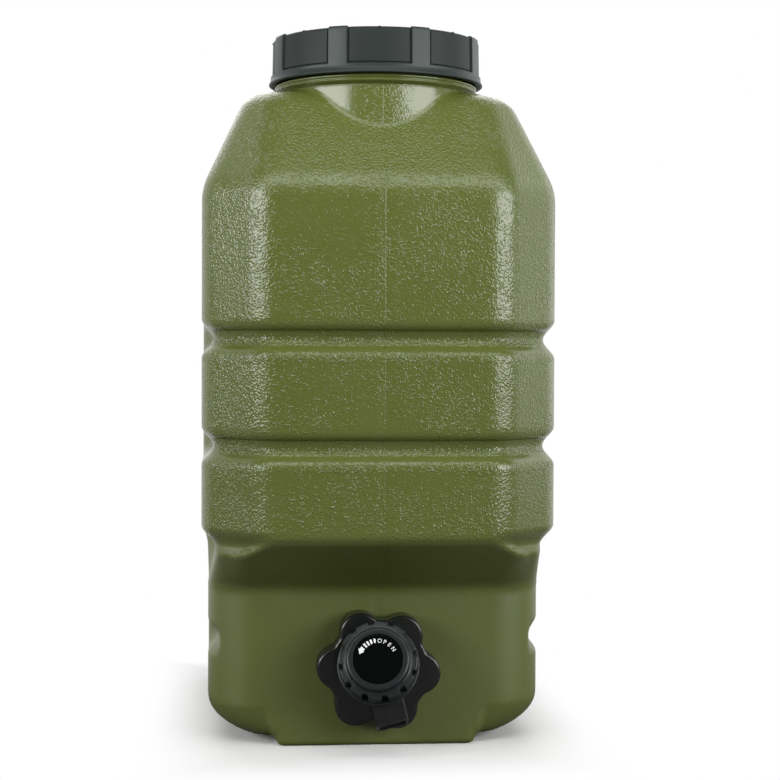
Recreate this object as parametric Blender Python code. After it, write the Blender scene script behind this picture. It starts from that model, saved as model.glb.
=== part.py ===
"""Water carrier of about 15 litres: chamfered tank, wide screw lid, moulded handle and a front tap.

Metres, +Z up, standing on Z = 0. The tap faces -Y. Depths are measured back from the front face.
Local frames of turned pieces have +Z along the piece's own axis, pointing out of the tank.
"""

import math

import bmesh
import bpy
from mathutils import Matrix, Vector

MM = 0.001
DEGREE = math.radians(1)
GAP = 0.3 * MM

# Tank outside
WIDTH = 190 * MM
DEPTH = 290 * MM
WALL = 3 * MM
DECK_Z = 354.5 * MM
SHOULDER_HEIGHT = 53 * MM
CREASE_EASE = 7 * MM
DECK_EDGE_RADIUS = 9 * MM
FRONT_CHAMFER = 31.5 * MM
BACK_CHAMFER = 20 * MM
CHAMFER_EDGE_RADIUS = 12 * MM
BACK_EDGE_RADIUS = 18 * MM
SHOULDER_SIDE_IN = 24.2 * MM
SHOULDER_FRONT_IN = 33 * MM
SHOULDER_BACK_IN = 20 * MM
SHOULDER_CHAMFER_IN = 29 * MM

# Grooves round the front and the back, which stop short of the flat side panels. The two lower ones
# leave out the front, where the recess for the tap is.
GROOVE_HEIGHTS = (164.4 * MM, 221.4 * MM)
LEDGE_GROOVE_Z = 111.6 * MM
LOW_GROOVE_Z = 57 * MM
GROOVE_INSET = 6.2 * MM
LOW_GROOVE_INSET = 5 * MM
GROOVE_HALF_WIDTH = 10.5 * MM
SIDE_PANEL_FRONT = 105 * MM
SIDE_PANEL_BACK_IN = 90 * MM
GROOVE_FADE = 16 * MM

# Recess for the tap, under a sloped ledge
TAP_RECESS = 50 * MM
LEDGE_TOP_Z = 116 * MM
LEDGE_END_Z = 86.5 * MM
LEDGE_EASE = 5 * MM
LOWER_CORNER_RADIUS = 27 * MM
LOWER_SIDE_IN = 3.2 * MM
LOWER_SIDE_STEP = 9 * MM
LOWER_SIDE_TAPER = 1 * MM

# Rounded foot
BASE_HEIGHT = 26 * MM
BASE_SIDE_IN = 32 * MM
BASE_FRONT_IN = 7 * MM
BASE_BACK_IN = 24 * MM
BASE_FRONT_HEIGHT = 10 * MM
BASE_CURVE = 2.3

# Neck and mouth
NECK_DEPTH = 72 * MM
BOSS_STEP = 1 * MM
BOSS_RISE = 2.3 * MM
BEAD_PROUD = 4.5 * MM
BEAD_HEIGHT = 3 * MM
BEAD_EDGE = 1 * MM
NECK_RADIUS = 51 * MM
NECK_WALL = 2 * MM
NECK_HEIGHT = 25.1 * MM
NECK_RIDGE = 2.9 * MM
LID_PITCH = 8 * MM
LID_RIDGE_TURNS = 1.2

# Lid
LID_WALL = 4.3 * MM
LID_HEIGHT = 24.6 * MM
LID_ROOF = 3 * MM
LID_BAND = 4.6 * MM
LID_FLANGE = 1 * MM
LID_EDGE = 1.2 * MM
LID_STEP = 0.3 * MM
LID_RIBS = 8
LID_RIB_WIDTH = 10 * DEGREE
LID_RIB_FLANK = 0.6 * DEGREE
LID_RIB_START = 20 * DEGREE
LID_RIB_PROUD = 0.9 * MM
LID_RIB_TOP = 0.5 * MM
LID_THREAD_CLEARANCE = 0.7 * MM
LID_PANEL_IN = 11.9 * MM
LID_PANEL_DROP = 1 * MM
GASKET_THICKNESS = 2 * MM
GASKET_OVERHANG = 1.5 * MM

# Handle behind the lid
GRIP_START = 145 * MM
GRIP_BACK_IN = 47 * MM
GRIP_DROP = 43.5 * MM
GRIP_SLOPE = 5 * MM
BAR_RISE = 19.5 * MM
BAR_THICKNESS = 29 * MM
BAR_WIDTH = 34 * MM
BAR_RADIUS = 11 * MM
BAR_RAMP = 24 * MM
BAR_SUNK = 2 * MM

# Outlet and star nut
OUTLET_Z = 43.6 * MM
OUTLET_RADIUS = 21.4 * MM
OUTLET_LENGTH = 8.5 * MM
OUTLET_BORE = 12 * MM
OUTLET_RIDGE = 1.5 * MM
NUT_PITCH = 4 * MM
NUT_RIDGE_TURNS = 1.1
NUT_CLEARANCE = 0.6 * MM
NUT_LENGTH = 15 * MM
NUT_WEB = 3 * MM
NUT_LOBES = 6
NUT_WALL = 3.8 * MM
NUT_LOBE_PROUD = 6.1 * MM
NUT_LOBE_START = -4 * DEGREE
NUT_LOBE_ROUND = 11 * MM
NUT_HOLE_SPARE = 4 * MM
NUT_BEVEL = 1.6 * MM
WASHER_THICKNESS = 1.8 * MM

# Tap body, bent up from the nut's axis and turned about it
FLANGE_SPARE = 3 * MM
FLANGE_THICKNESS = 2.5 * MM
TAP_TURN = 14 * DEGREE
BEND_AT = 6 * MM
BARREL_TILT = 22 * DEGREE
BARREL_RADIUS = 12.5 * MM
BARREL_LENGTH = 22.5 * MM
BARREL_START = 1.5 * MM
ELBOW_LENGTH = 12.6 * MM
INLET_BORE = 9.5 * MM
INLET_DEPTH = 6.5 * MM
SEAT_BORE = 6.5 * MM
SEAT_BORE_START = -3.5 * MM
SEAT_AT = 6.4 * MM
BARREL_WALL = 1.9 * MM
SPOUT_WIDTH = 17.6 * MM
SPOUT_START = 10.5 * MM
SPOUT_THICKNESS = 12 * MM
SPOUT_DROP = 31 * MM
SPOUT_ROOT = 6 * MM
SPOUT_WALL = 1.7 * MM
SPOUT_CORNER = 2 * MM
SPOUT_CUT = 25 * DEGREE

# Knob
KNOB_PITCH = 4 * MM
KNOB_RIDGE = 1.2 * MM
KNOB_CLEARANCE = 0.5 * MM
KNOB_RIDGE_TURNS = 1
KNOB_WALL = 7.6 * MM
KNOB_LENGTH = 13.8 * MM
KNOB_PAST_BARREL = 5 * MM
KNOB_BAND = 3.2 * MM
KNOB_EDGE = 0.9 * MM
CROWN_STEP = 0.9 * MM
KNOB_TURN = -4 * DEGREE
KNOB_NOTCHES = 12
KNOB_NOTCH_WIDTH = 9 * DEGREE
KNOB_NOTCH_DEPTH = 2.2 * MM
RING_IN = 4.9 * MM
RING_HEIGHT = 3.6 * MM
RING_WIDTH = 4 * MM
DISC_THICKNESS = 1 * MM
DISC_EDGE = 0.3 * MM
DISC_WELL = 1.6 * MM
KNOB_WEB = 1.5 * MM
KNOB_SOCKET = 1.5 * MM

# Spindle, plug, O-rings and screw
PLUG_SPARE = 2 * MM
PLUG_THICKNESS = 3 * MM
PLUG_EDGE = 0.5 * MM
NOSE_RADIUS = 2.9 * MM
NOSE_LENGTH = 1.9 * MM
COLLAR_IN = 0.6 * MM
COLLAR_THICKNESS = 1.5 * MM
SHANK_RADIUS = 4 * MM
PISTON_SPARE = 0.9 * MM
PISTON_FROM_END = 8.4 * MM
PISTON_LENGTH = 6.2 * MM
RING_SECTION = 0.85 * MM
RING_SPACING = 2.9 * MM
STEM_NECK_RADIUS = 5 * MM
SCREW_RADIUS = 1.6 * MM
SCREW_HEAD_RADIUS = 4.2 * MM
SCREW_HEAD = 1.5 * MM
SCREW_LENGTH = 9 * MM
SCREW_HOLE_SPARE = 1 * MM
CROSS_LENGTH = 4.4 * MM
CROSS_WIDTH = 0.8 * MM

# Places worked out from the sizes
CREASE_Z = DECK_Z - SHOULDER_HEIGHT
SIDE_PANEL_BACK = DEPTH - SIDE_PANEL_BACK_IN
GRIP_END = DEPTH - GRIP_BACK_IN
GRIP_FLOOR_Z = DECK_Z - GRIP_DROP
BAR_TOP_Z = DECK_Z + BAR_RISE
BAR_BOTTOM_Z = BAR_TOP_Z - BAR_THICKNESS
RIM_Z = DECK_Z + NECK_HEIGHT
LID_GASKET_Z = RIM_Z + GAP
LID_TOP_Z = LID_GASKET_Z + GASKET_THICKNESS + GAP + LID_ROOF
LID_BOTTOM_Z = LID_TOP_Z - LID_HEIGHT
MOUTH_RADIUS = NECK_RADIUS - NECK_WALL
BOSS_RADIUS = NECK_RADIUS + BOSS_STEP
BEAD_RADIUS = NECK_RADIUS + BEAD_PROUD
LID_BORE = NECK_RADIUS + NECK_RIDGE + LID_THREAD_CLEARANCE
LID_RADIUS = LID_BORE + LID_WALL
LID_PANEL_RADIUS = LID_RADIUS - LID_PANEL_IN
OUTLET_FACE = TAP_RECESS - OUTLET_LENGTH
FLANGE_Z = GAP + WASHER_THICKNESS + GAP
WEB_Z = FLANGE_Z + FLANGE_THICKNESS + GAP
NUT_BACK_Z = WEB_Z + NUT_WEB - NUT_LENGTH
NUT_BORE = OUTLET_RADIUS + OUTLET_RIDGE + NUT_CLEARANCE
NUT_VALLEY_RADIUS = NUT_BORE + NUT_WALL
NUT_LOBE_RADIUS = NUT_VALLEY_RADIUS + NUT_LOBE_PROUD
NUT_HOLE_RADIUS = BARREL_RADIUS + NUT_HOLE_SPARE
FLANGE_RADIUS = NUT_BORE - FLANGE_SPARE
CHAMBER_RADIUS = BARREL_RADIUS - BARREL_WALL
PLUG_RADIUS = CHAMBER_RADIUS - PLUG_SPARE
COLLAR_RADIUS = PLUG_RADIUS - COLLAR_IN
PISTON_RADIUS = CHAMBER_RADIUS - PISTON_SPARE
PISTON_START = BARREL_LENGTH - PISTON_FROM_END
KNOB_BORE = BARREL_RADIUS + KNOB_RIDGE + KNOB_CLEARANCE
KNOB_RADIUS = KNOB_BORE + KNOB_WALL
KNOB_FACE = BARREL_LENGTH + KNOB_PAST_BARREL
KNOB_BACK = KNOB_FACE - KNOB_LENGTH
RING_RADIUS = KNOB_RADIUS - RING_IN
DISC_RADIUS = RING_RADIUS - RING_WIDTH
KNOB_INNER_FACE = KNOB_FACE - KNOB_WEB - KNOB_SOCKET
STEM_END = KNOB_FACE - KNOB_WEB - GAP
PLUG_Z = SEAT_AT + GAP
BEAD_Z = DECK_Z + BOSS_RISE
SCREW_WELL_RADIUS = SCREW_HEAD_RADIUS + 2 * GAP

# Where each thread ridge begins, in pitches from the end of its thread
NECK_RIDGE_Z = BEAD_Z + BEAD_HEIGHT + 0.8 * LID_PITCH
OUTLET_RIDGE_Z = -OUTLET_LENGTH + 0.6 * NUT_PITCH
BARREL_RIDGE_Z = BARREL_LENGTH - 1.5 * KNOB_PITCH

# Small sizes of the construction
ARC_STEPS = 2
OVERCUT = 1 * MM
RIDGE_SUNK = 0.6 * MM
SAME_POINT = 0.001 * MM
CLOSEST_HEIGHTS = 0.5 * MM
SHARP_ANGLE = 30 * DEGREE
CORNER_TURN = 22.5 * DEGREE
CORNER_TANGENT = math.tan(CORNER_TURN)
CORNER_SINE = math.sin(2 * CORNER_TURN)
LEG_PER_RADIUS = math.sqrt(2) * CORNER_TANGENT
SLOPE_STEP = 0.5 * MM


# Shared helpers

def clear_scene():
    for old in list(bpy.data.objects):
        bpy.data.objects.remove(old, do_unlink=True)


def make_material(name, colour, roughness, metallic=0.0):
    material = bpy.data.materials.new(name)
    material.use_nodes = True
    shader = material.node_tree.nodes["Principled BSDF"]
    shader.inputs["Base Color"].default_value = (*colour, 1)
    shader.inputs["Roughness"].default_value = roughness
    shader.inputs["Metallic"].default_value = metallic
    return material


def finish_object(name, bm, place, material=None):
    """An object with this mesh, its origin at place."""
    bmesh.ops.recalc_face_normals(bm, faces=bm.faces)
    mesh = bpy.data.meshes.new(name)
    bm.to_mesh(mesh)
    bm.free()
    mesh.shade_smooth()
    mesh.set_sharp_from_angle(angle=SHARP_ANGLE)
    if material:
        mesh.materials.append(material)
    made = bpy.data.objects.new(name, mesh)
    made.matrix_world = place
    bpy.context.scene.collection.objects.link(made)
    return made


def turned(name, profile, place, material=None, segments=48):
    """A turned solid. profile lists (radius, height) in order; a ring's profile closes on itself."""
    bm = bmesh.new()
    points = [bm.verts.new((radius, 0, height)) for radius, height in profile]
    edges = [bm.edges.new(pair) for pair in zip(points, points[1:])]
    if profile[0][0] > 0 or profile[-1][0] > 0:
        edges.append(bm.edges.new((points[-1], points[0])))
    bmesh.ops.spin(bm, geom=points + edges, cent=(0, 0, 0), axis=(0, 0, 1),
                   angle=2 * math.pi, steps=segments, use_merge=True)
    bmesh.ops.remove_doubles(bm, verts=bm.verts, dist=SAME_POINT)
    return finish_object(name, bm, place, material)


def lofted(name, rings, place, material=None, closed=False):
    """A skin over rings of equally many points, capped at both ends or closed on itself."""
    bm = bmesh.new()
    loops = [[bm.verts.new(point) for point in ring] for ring in rings]
    pairs = list(zip(loops, loops[1:]))
    if closed:
        pairs.append((loops[-1], loops[0]))
    for low, high in pairs:
        for i in range(len(low)):
            j = (i + 1) % len(low)
            bm.faces.new((low[i], low[j], high[j], high[i]))
    if not closed:
        bm.faces.new(loops[0])
        bm.faces.new(loops[-1])
    return finish_object(name, bm, place, material)


def combine(target, tool, operation):
    """Adds or cuts tool from target, and hides tool as a helper."""
    step = target.modifiers.new(tool.name, "BOOLEAN")
    step.operation = operation
    step.solver = "EXACT"
    step.object = tool
    tool.hide_render = True
    tool.display_type = "WIRE"


def plug_cutter(name, radius, low, high, place, segments=32):
    """A plain turned helper from low to high."""
    return turned(name, [(0, high), (radius, high), (radius, low), (0, low)], place, segments=segments)


def thread_ridge(name, wall, height, pitch, start, turns, place, segments=36):
    """A right-handed helical ridge on a wall's radius, inwards if height is below zero, for a union."""
    base = 0.36 * pitch
    tip = 0.16 * pitch
    sunk = wall - math.copysign(RIDGE_SUNK, height)
    crest = wall + height
    rings = []
    for i in range(int(segments * turns) + 1):
        angle = 2 * math.pi * i / segments
        middle = start + pitch * i / segments
        corners = ((sunk, -base / 2), (crest, -tip / 2), (crest, tip / 2), (sunk, base / 2))
        across = Vector((math.cos(angle), math.sin(angle), 0))
        rings.append([across * radius + Vector((0, 0, middle + up)) for radius, up in corners])
    return lofted(name, rings, place)


def upright_frame(depth, z=0.0):
    return Matrix.Translation((0, depth - DEPTH / 2, z))


def outlet_frame():
    """Local Z points out of the tank along the nut's axis, local Y is up, from the outlet's face."""
    return upright_frame(OUTLET_FACE, OUTLET_Z) @ Matrix.Rotation(90 * DEGREE, 4, "X")


def tap_frame():
    return outlet_frame() @ Matrix.Rotation(TAP_TURN, 4, "Z")


def barrel_frame():
    """The axis of the knob and its spindle, from where it meets the nut's axis."""
    return tap_frame() @ Matrix.Translation((0, 0, BEND_AT)) @ Matrix.Rotation(-BARREL_TILT, 4, "X")


# Shape of the tank at each height

def soft_rise(past, ease):
    """0 before zero and rising one for one after it, with the corner eased."""
    if past <= -ease:
        return 0.0
    if past >= ease:
        return past
    return (past + ease) ** 2 / (4 * ease)


def ramp(z, low, high, ease):
    return (soft_rise(z - low, ease) - soft_rise(z - high, ease)) / (high - low)


def shoulder_in(z, amount):
    lean = amount * soft_rise(z - CREASE_Z, CREASE_EASE) / (DECK_Z - CREASE_Z)
    into_edge = min(max(z - DECK_Z + DECK_EDGE_RADIUS, 0), DECK_EDGE_RADIUS)
    return lean + DECK_EDGE_RADIUS - math.sqrt(DECK_EDGE_RADIUS ** 2 - into_edge ** 2)


def base_in(z, amount, height):
    return amount * max(1 - max(z, 0) / height, 0) ** BASE_CURVE


def recess_share(z):
    return 1 - ramp(z, LEDGE_END_Z, LEDGE_TOP_Z, LEDGE_EASE)


def side_at(z):
    ledge_in = LOWER_SIDE_IN - LOWER_SIDE_TAPER
    lower = (ledge_in * (1 - ramp(z, LEDGE_TOP_Z - LOWER_SIDE_STEP, LEDGE_TOP_Z, LOWER_SIDE_STEP / 3))
             + LOWER_SIDE_TAPER * recess_share(z))
    return (WIDTH / 2 - shoulder_in(z, SHOULDER_SIDE_IN) - lower
            - base_in(z, BASE_SIDE_IN - LOWER_SIDE_IN, BASE_HEIGHT))


def front_at(z):
    return (shoulder_in(z, SHOULDER_FRONT_IN) + TAP_RECESS * recess_share(z)
            + base_in(z, BASE_FRONT_IN, BASE_FRONT_HEIGHT))


def back_at(z):
    return DEPTH - shoulder_in(z, SHOULDER_BACK_IN) - base_in(z, BASE_BACK_IN, BASE_HEIGHT)


def sloped_wall(shape, z, wall):
    """How far in the inside of a wall lies at this height, on a face that leans."""
    lean = (shape(z + SLOPE_STEP) - shape(z - SLOPE_STEP)) / (2 * SLOPE_STEP)
    return wall * math.sqrt(1 + lean ** 2)


def groove_profile(z, middle, inset):
    across = (z - middle) / GROOVE_HALF_WIDTH
    return inset * (1 + math.cos(math.pi * across)) / 2 if abs(across) < 1 else 0.0


def fade(value, start, length):
    """1 up to start, falling to 0 over length."""
    share = min(max((value - start) / length, 0), 1)
    return 1 - share * share * (3 - 2 * share)


def ledge_groove(z):
    """The groove level with the ledge, which runs out slowly downwards beside it."""
    if z > LEDGE_GROOVE_Z:
        return groove_profile(z, LEDGE_GROOVE_Z, GROOVE_INSET)
    return GROOVE_INSET * max(z - LEDGE_END_Z, 0) / (LEDGE_GROOVE_Z - LEDGE_END_Z)


def groove_in(normal, depth, z):
    """How deep a groove is at a point of the skin, by the direction in plan that the skin faces there."""
    beside_panel = max(fade(depth, SIDE_PANEL_FRONT - GROOVE_FADE, GROOVE_FADE),
                       fade(-depth, -SIDE_PANEL_BACK - GROOVE_FADE, GROOVE_FADE))
    round_tank = sum(groove_profile(z, middle, GROOVE_INSET) for middle in GROOVE_HEIGHTS)
    off_front = 1 if normal[1] > 0 else 1 - fade(abs(normal[0]), 0, CORNER_SINE)
    beside = 1 if normal[1] > 0 else 1 - fade(abs(normal[0]), CORNER_SINE, 1 - CORNER_SINE)
    low = groove_profile(z, LOW_GROOVE_Z, LOW_GROOVE_INSET)
    return beside_panel * (round_tank + off_front * ledge_groove(z) + beside * low)


def corner_arc(corner, start, radius, steps):
    """Points and normals round a 45 degree corner whose first face has its normal at start degrees."""
    middle = start * DEGREE + CORNER_TURN
    reach = radius / math.cos(CORNER_TURN)
    centre = (corner[0] - reach * math.cos(middle), corner[1] - reach * math.sin(middle))
    arc = []
    for i in range(steps + 1):
        angle = (start + 45 * i / steps) * DEGREE
        normal = (math.cos(angle), math.sin(angle))
        arc.append((centre[0] + radius * normal[0], centre[1] + radius * normal[1], normal))
    return arc


def half_outline(z, wall, steps):
    """(x, depth, normal) from the middle of the front round to the middle of the back."""
    half = side_at(z) - sloped_wall(side_at, z, wall)
    front = front_at(z) + sloped_wall(front_at, z, wall)
    back = back_at(z) - sloped_wall(back_at, z, wall)
    chamfer = WIDTH / 2 - FRONT_CHAMFER - math.sqrt(2) * (shoulder_in(z, SHOULDER_CHAMFER_IN) + wall)
    radius = CHAMFER_EDGE_RADIUS + (LOWER_CORNER_RADIUS - CHAMFER_EDGE_RADIUS) * recess_share(z) - wall
    back_radius = BACK_EDGE_RADIUS - wall
    leg = max(half - front - chamfer, radius * LEG_PER_RADIUS)
    back_leg = max(BACK_CHAMFER - 2 * wall * CORNER_TANGENT, back_radius * LEG_PER_RADIUS)
    front_arc = corner_arc((half - leg, front), -90, radius, steps)
    points = [(0, front, (0, -1)), (0.7 * front_arc[0][0], front, (0, -1))]
    points += front_arc
    points += corner_arc((half, front + leg), -45, radius, steps)
    for depth in (SIDE_PANEL_FRONT - GROOVE_FADE, SIDE_PANEL_FRONT - GROOVE_FADE / 2, SIDE_PANEL_FRONT,
                  SIDE_PANEL_BACK, SIDE_PANEL_BACK + GROOVE_FADE / 2, SIDE_PANEL_BACK + GROOVE_FADE):
        points.append((half, depth, (1, 0)))
    points += corner_arc((half, back - back_leg), 0, back_radius, steps)
    points += corner_arc((half - back_leg, back), 45, back_radius, steps)
    points.append((0, back, (0, 1)))
    return points


def tank_ring(z, wall=0.0, steps=ARC_STEPS):
    right = []
    for x, depth, normal in half_outline(z, wall, steps):
        inset = groove_in(normal, depth, z)
        right.append((x - inset * normal[0], depth - inset * normal[1] - DEPTH / 2, z))
    left = [(-x, y, z) for x, y, z in reversed(right[1:-1])]
    return right + left


def tank_heights(low, high, groove_shares):
    """Heights at which the outline changes, from low to high."""
    heights = [low, high]
    heights += [BASE_HEIGHT * share for share in (0.14, 0.27, 0.47, 0.7, 1)]
    for middle in (LOW_GROOVE_Z, LEDGE_GROOVE_Z, *GROOVE_HEIGHTS):
        heights += [middle + GROOVE_HALF_WIDTH * share for share in groove_shares]
    for corner, ease in ((LEDGE_END_Z, LEDGE_EASE), (LEDGE_TOP_Z, LEDGE_EASE), (CREASE_Z, CREASE_EASE)):
        heights += [corner - ease, corner, corner + ease]
    heights.append(LEDGE_TOP_Z - LOWER_SIDE_STEP)
    heights += [DECK_Z - DECK_EDGE_RADIUS * (1 - math.sin(turn * DEGREE)) for turn in (0, 30, 60)]
    kept = sorted(z for z in set(heights) if low <= z <= high)
    return [z for i, z in enumerate(kept) if i == 0 or z - kept[i - 1] > CLOSEST_HEIGHTS]


def grip_prism(name, grow):
    """The space that the fingers reach through, right across the tank."""
    top = BAR_TOP_Z + OVERCUT
    spread = GRIP_SLOPE * (top - GRIP_FLOOR_Z) / (DECK_Z - GRIP_FLOOR_Z)
    front, back, floor = GRIP_START - grow, GRIP_END + grow, GRIP_FLOOR_Z - grow
    outline = ((front + GRIP_SLOPE, floor), (back - GRIP_SLOPE, floor),
               (back - GRIP_SLOPE + spread, top), (front + GRIP_SLOPE - spread, top))
    rings = [[(x, depth - DEPTH / 2, z) for depth, z in outline] for x in (-WIDTH, WIDTH)]
    return lofted(name, rings, Matrix.Identity(4))


def bar_section(depth, bottom, top, width, radius):
    """A rounded rectangle across the handle bar."""
    radius = min(radius, (top - bottom) / 2.2)
    ring = []
    for quarter, (side, end) in enumerate(((1, top), (-1, top), (-1, bottom), (1, bottom))):
        centre_x = side * (width / 2 - radius)
        centre_z = end - radius if end == top else end + radius
        for i in range(4):
            angle = (90 * quarter + 30 * i) * DEGREE
            ring.append((centre_x + radius * math.cos(angle), depth - DEPTH / 2,
                         centre_z + radius * math.sin(angle)))
    return ring


def handle_bar(name, inset):
    """The bar over the grip, which ramps up from the deck behind the lid and down to the back."""
    rings = []
    front, back = GRIP_START - BAR_RAMP / 2, GRIP_END + BAR_RAMP / 2
    shares = (0, 0.25, 0.5, 0.75, 1)
    places = [(front + BAR_RAMP * share, share) for share in shares]
    places += [(back - BAR_RAMP * share, share) for share in reversed(shares)]
    for depth, share in places:
        eased = share * share * (3 - 2 * share)
        top = DECK_Z - BAR_SUNK + (BAR_TOP_Z - DECK_Z + BAR_SUNK) * eased - inset
        rings.append(bar_section(depth, BAR_BOTTOM_Z + inset, top, BAR_WIDTH - 2 * inset,
                                 BAR_RADIUS - inset))
    return lofted(name, rings, Matrix.Identity(4))


def tank_inside():
    heights = tank_heights(WALL, DECK_Z - WALL, (-1, 0, 1))
    inside = lofted("tank_inside", [tank_ring(z, WALL, 1) for z in heights], Matrix.Identity(4))
    combine(inside, grip_prism("grip_inside", WALL), "DIFFERENCE")
    combine(inside, handle_bar("bar_inside", WALL), "UNION")
    return inside


def neck_solid():
    """Boss that grows out of the shoulder, bead under the lid, and the neck."""
    bead_top = BEAD_Z + BEAD_HEIGHT
    profile = [(0, CREASE_Z), (BOSS_RADIUS, CREASE_Z), (BOSS_RADIUS, BEAD_Z - BEAD_EDGE / 2),
               (BEAD_RADIUS - BEAD_EDGE, BEAD_Z), (BEAD_RADIUS, BEAD_Z + BEAD_EDGE),
               (BEAD_RADIUS, bead_top - BEAD_EDGE), (BEAD_RADIUS - BEAD_EDGE, bead_top),
               (NECK_RADIUS, bead_top), (NECK_RADIUS, RIM_Z), (0, RIM_Z)]
    return turned("neck_solid", profile, upright_frame(NECK_DEPTH))


def tank_body(material):
    heights = tank_heights(0, DECK_Z, (-1, -0.5, 0, 0.5, 1))
    tank = lofted("tank_body", [tank_ring(z) for z in heights], Matrix.Identity(4), material)
    combine(tank, grip_prism("grip_space", 0), "DIFFERENCE")
    combine(tank, handle_bar("bar", 0), "UNION")
    combine(tank, neck_solid(), "UNION")
    neck_place = upright_frame(NECK_DEPTH)
    neck_ridge = thread_ridge("neck_ridge", NECK_RADIUS, NECK_RIDGE, LID_PITCH, NECK_RIDGE_Z,
                              LID_RIDGE_TURNS, neck_place)
    combine(tank, neck_ridge, "UNION")
    outlet = outlet_frame()
    outlet_solid = plug_cutter("outlet_solid", OUTLET_RADIUS, -OUTLET_LENGTH - WALL / 2, 0, outlet)
    combine(tank, outlet_solid, "UNION")
    outlet_ridge = thread_ridge("outlet_ridge", OUTLET_RADIUS, OUTLET_RIDGE, NUT_PITCH, OUTLET_RIDGE_Z,
                                NUT_RIDGE_TURNS, outlet)
    combine(tank, outlet_ridge, "UNION")
    combine(tank, tank_inside(), "DIFFERENCE")
    mouth_low = (CREASE_Z + DECK_Z) / 2
    mouth_bore = plug_cutter("mouth_bore", MOUTH_RADIUS, mouth_low, RIM_Z + OVERCUT, neck_place, 48)
    combine(tank, mouth_bore, "DIFFERENCE")
    outlet_low = -OUTLET_LENGTH - 2 * WALL
    combine(tank, plug_cutter("outlet_bore", OUTLET_BORE, outlet_low, OVERCUT, outlet), "DIFFERENCE")
    return tank


# Lid and its gasket

def lid_angles():
    """(angle, on a rib) round the lid, closer together where a rib's side is."""
    spots = []
    pitch = 2 * math.pi / LID_RIBS
    for rib in range(LID_RIBS):
        middle = LID_RIB_START + rib * pitch
        for offset in (-LID_RIB_WIDTH / 2, 0, LID_RIB_WIDTH / 2):
            spots.append((middle + offset, True))
        panel = pitch - LID_RIB_WIDTH - 2 * LID_RIB_FLANK
        for share in (0, 0.25, 0.5, 0.75, 1):
            spots.append((middle + LID_RIB_WIDTH / 2 + LID_RIB_FLANK + panel * share, False))
    return spots


def lid(material):
    band = LID_RADIUS - LID_FLANGE
    panel = band - LID_RIB_PROUD

    def ring(radius, height, panel_radius=None, panel_height=None):
        points = []
        for angle, on_rib in lid_angles():
            r = radius if on_rib or panel_radius is None else panel_radius
            z = height if on_rib or panel_height is None else panel_height
            points.append((r * math.sin(angle), -r * math.cos(angle), z))
        return points

    shoulder = LID_HEIGHT - LID_RIB_TOP
    rings = [ring(LID_RADIUS, 0), ring(LID_RADIUS, LID_FLANGE), ring(band, 2 * LID_FLANGE),
             ring(band, LID_BAND), ring(band, LID_BAND + LID_STEP, panel, LID_BAND + LID_STEP),
             ring(band - LID_STEP, LID_HEIGHT - LID_EDGE, panel, shoulder - LID_EDGE),
             ring(band - LID_STEP - LID_EDGE, LID_HEIGHT, panel - LID_EDGE, shoulder),
             ring(panel - 2.5 * LID_EDGE, shoulder), ring(LID_PANEL_RADIUS, shoulder),
             ring(LID_PANEL_RADIUS - LID_EDGE, shoulder - LID_PANEL_DROP)]
    place = upright_frame(NECK_DEPTH, LID_BOTTOM_Z)
    made = lofted("lid", rings, place, material)
    inside = plug_cutter("lid_inside", LID_BORE, -OVERCUT, LID_HEIGHT - LID_ROOF, place, 48)
    combine(made, inside, "DIFFERENCE")
    ridge_z = NECK_RIDGE_Z - LID_BOTTOM_Z - LID_PITCH / 2
    ridge = thread_ridge("lid_ridge", LID_BORE, -NECK_RIDGE, LID_PITCH, ridge_z, LID_RIDGE_TURNS, place)
    combine(made, ridge, "UNION")
    return made


def washer(name, inner, outer, low, high, place, material):
    return turned(name, [(outer, high), (outer, low), (inner, low), (inner, high)], place, material)


# Star nut

def lobed(radius, valley, lobe_round, count, start, segments):
    """Outline of a star nut: round lobes that run softly into a circle between them."""
    pitch = 2 * math.pi / count
    lobe_centre = radius - lobe_round
    sharpness = 30
    points = []
    for i in range(segments):
        angle = 2 * math.pi * i / segments
        off = (angle - start + pitch / 2) % pitch - pitch / 2
        beside = lobe_centre * math.sin(off)
        lobe = lobe_centre * math.cos(off) + math.sqrt(max(lobe_round ** 2 - beside ** 2, 0))
        both = (lobe / radius) ** sharpness + (valley / radius) ** sharpness
        reach = radius * both ** (1 / sharpness)
        points.append((reach * math.cos(angle), reach * math.sin(angle)))
    return points


def tap_nut(material):
    segments = 72
    place = outlet_frame()
    front = NUT_BACK_Z + NUT_LENGTH
    back_bevel = 0.4 * NUT_BEVEL

    def star(z, inset):
        outline = lobed(NUT_LOBE_RADIUS - inset, NUT_VALLEY_RADIUS - inset, NUT_LOBE_ROUND - inset,
                        NUT_LOBES, NUT_LOBE_START, segments)
        return [(x, y, z) for x, y in outline]

    def circle(radius, z):
        turns = [2 * math.pi * i / segments for i in range(segments)]
        return [(radius * math.cos(t), radius * math.sin(t), z) for t in turns]

    rings = [star(NUT_BACK_Z, back_bevel), star(NUT_BACK_Z + back_bevel, 0),
             star(front - NUT_BEVEL, 0), star(front - 0.3 * NUT_BEVEL, 0.3 * NUT_BEVEL),
             star(front, NUT_BEVEL), circle(NUT_HOLE_RADIUS, front), circle(NUT_HOLE_RADIUS, WEB_Z),
             circle(NUT_BORE, WEB_Z), circle(NUT_BORE, NUT_BACK_Z)]
    nut = lofted("tap_nut", rings, place, material, closed=True)
    ridge_z = OUTLET_RIDGE_Z + NUT_PITCH / 2
    ridge = thread_ridge("nut_ridge", NUT_BORE, -OUTLET_RIDGE, NUT_PITCH, ridge_z, NUT_RIDGE_TURNS, place)
    combine(nut, ridge, "UNION")
    return nut


# Tap body with its barrel and spout

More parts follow.
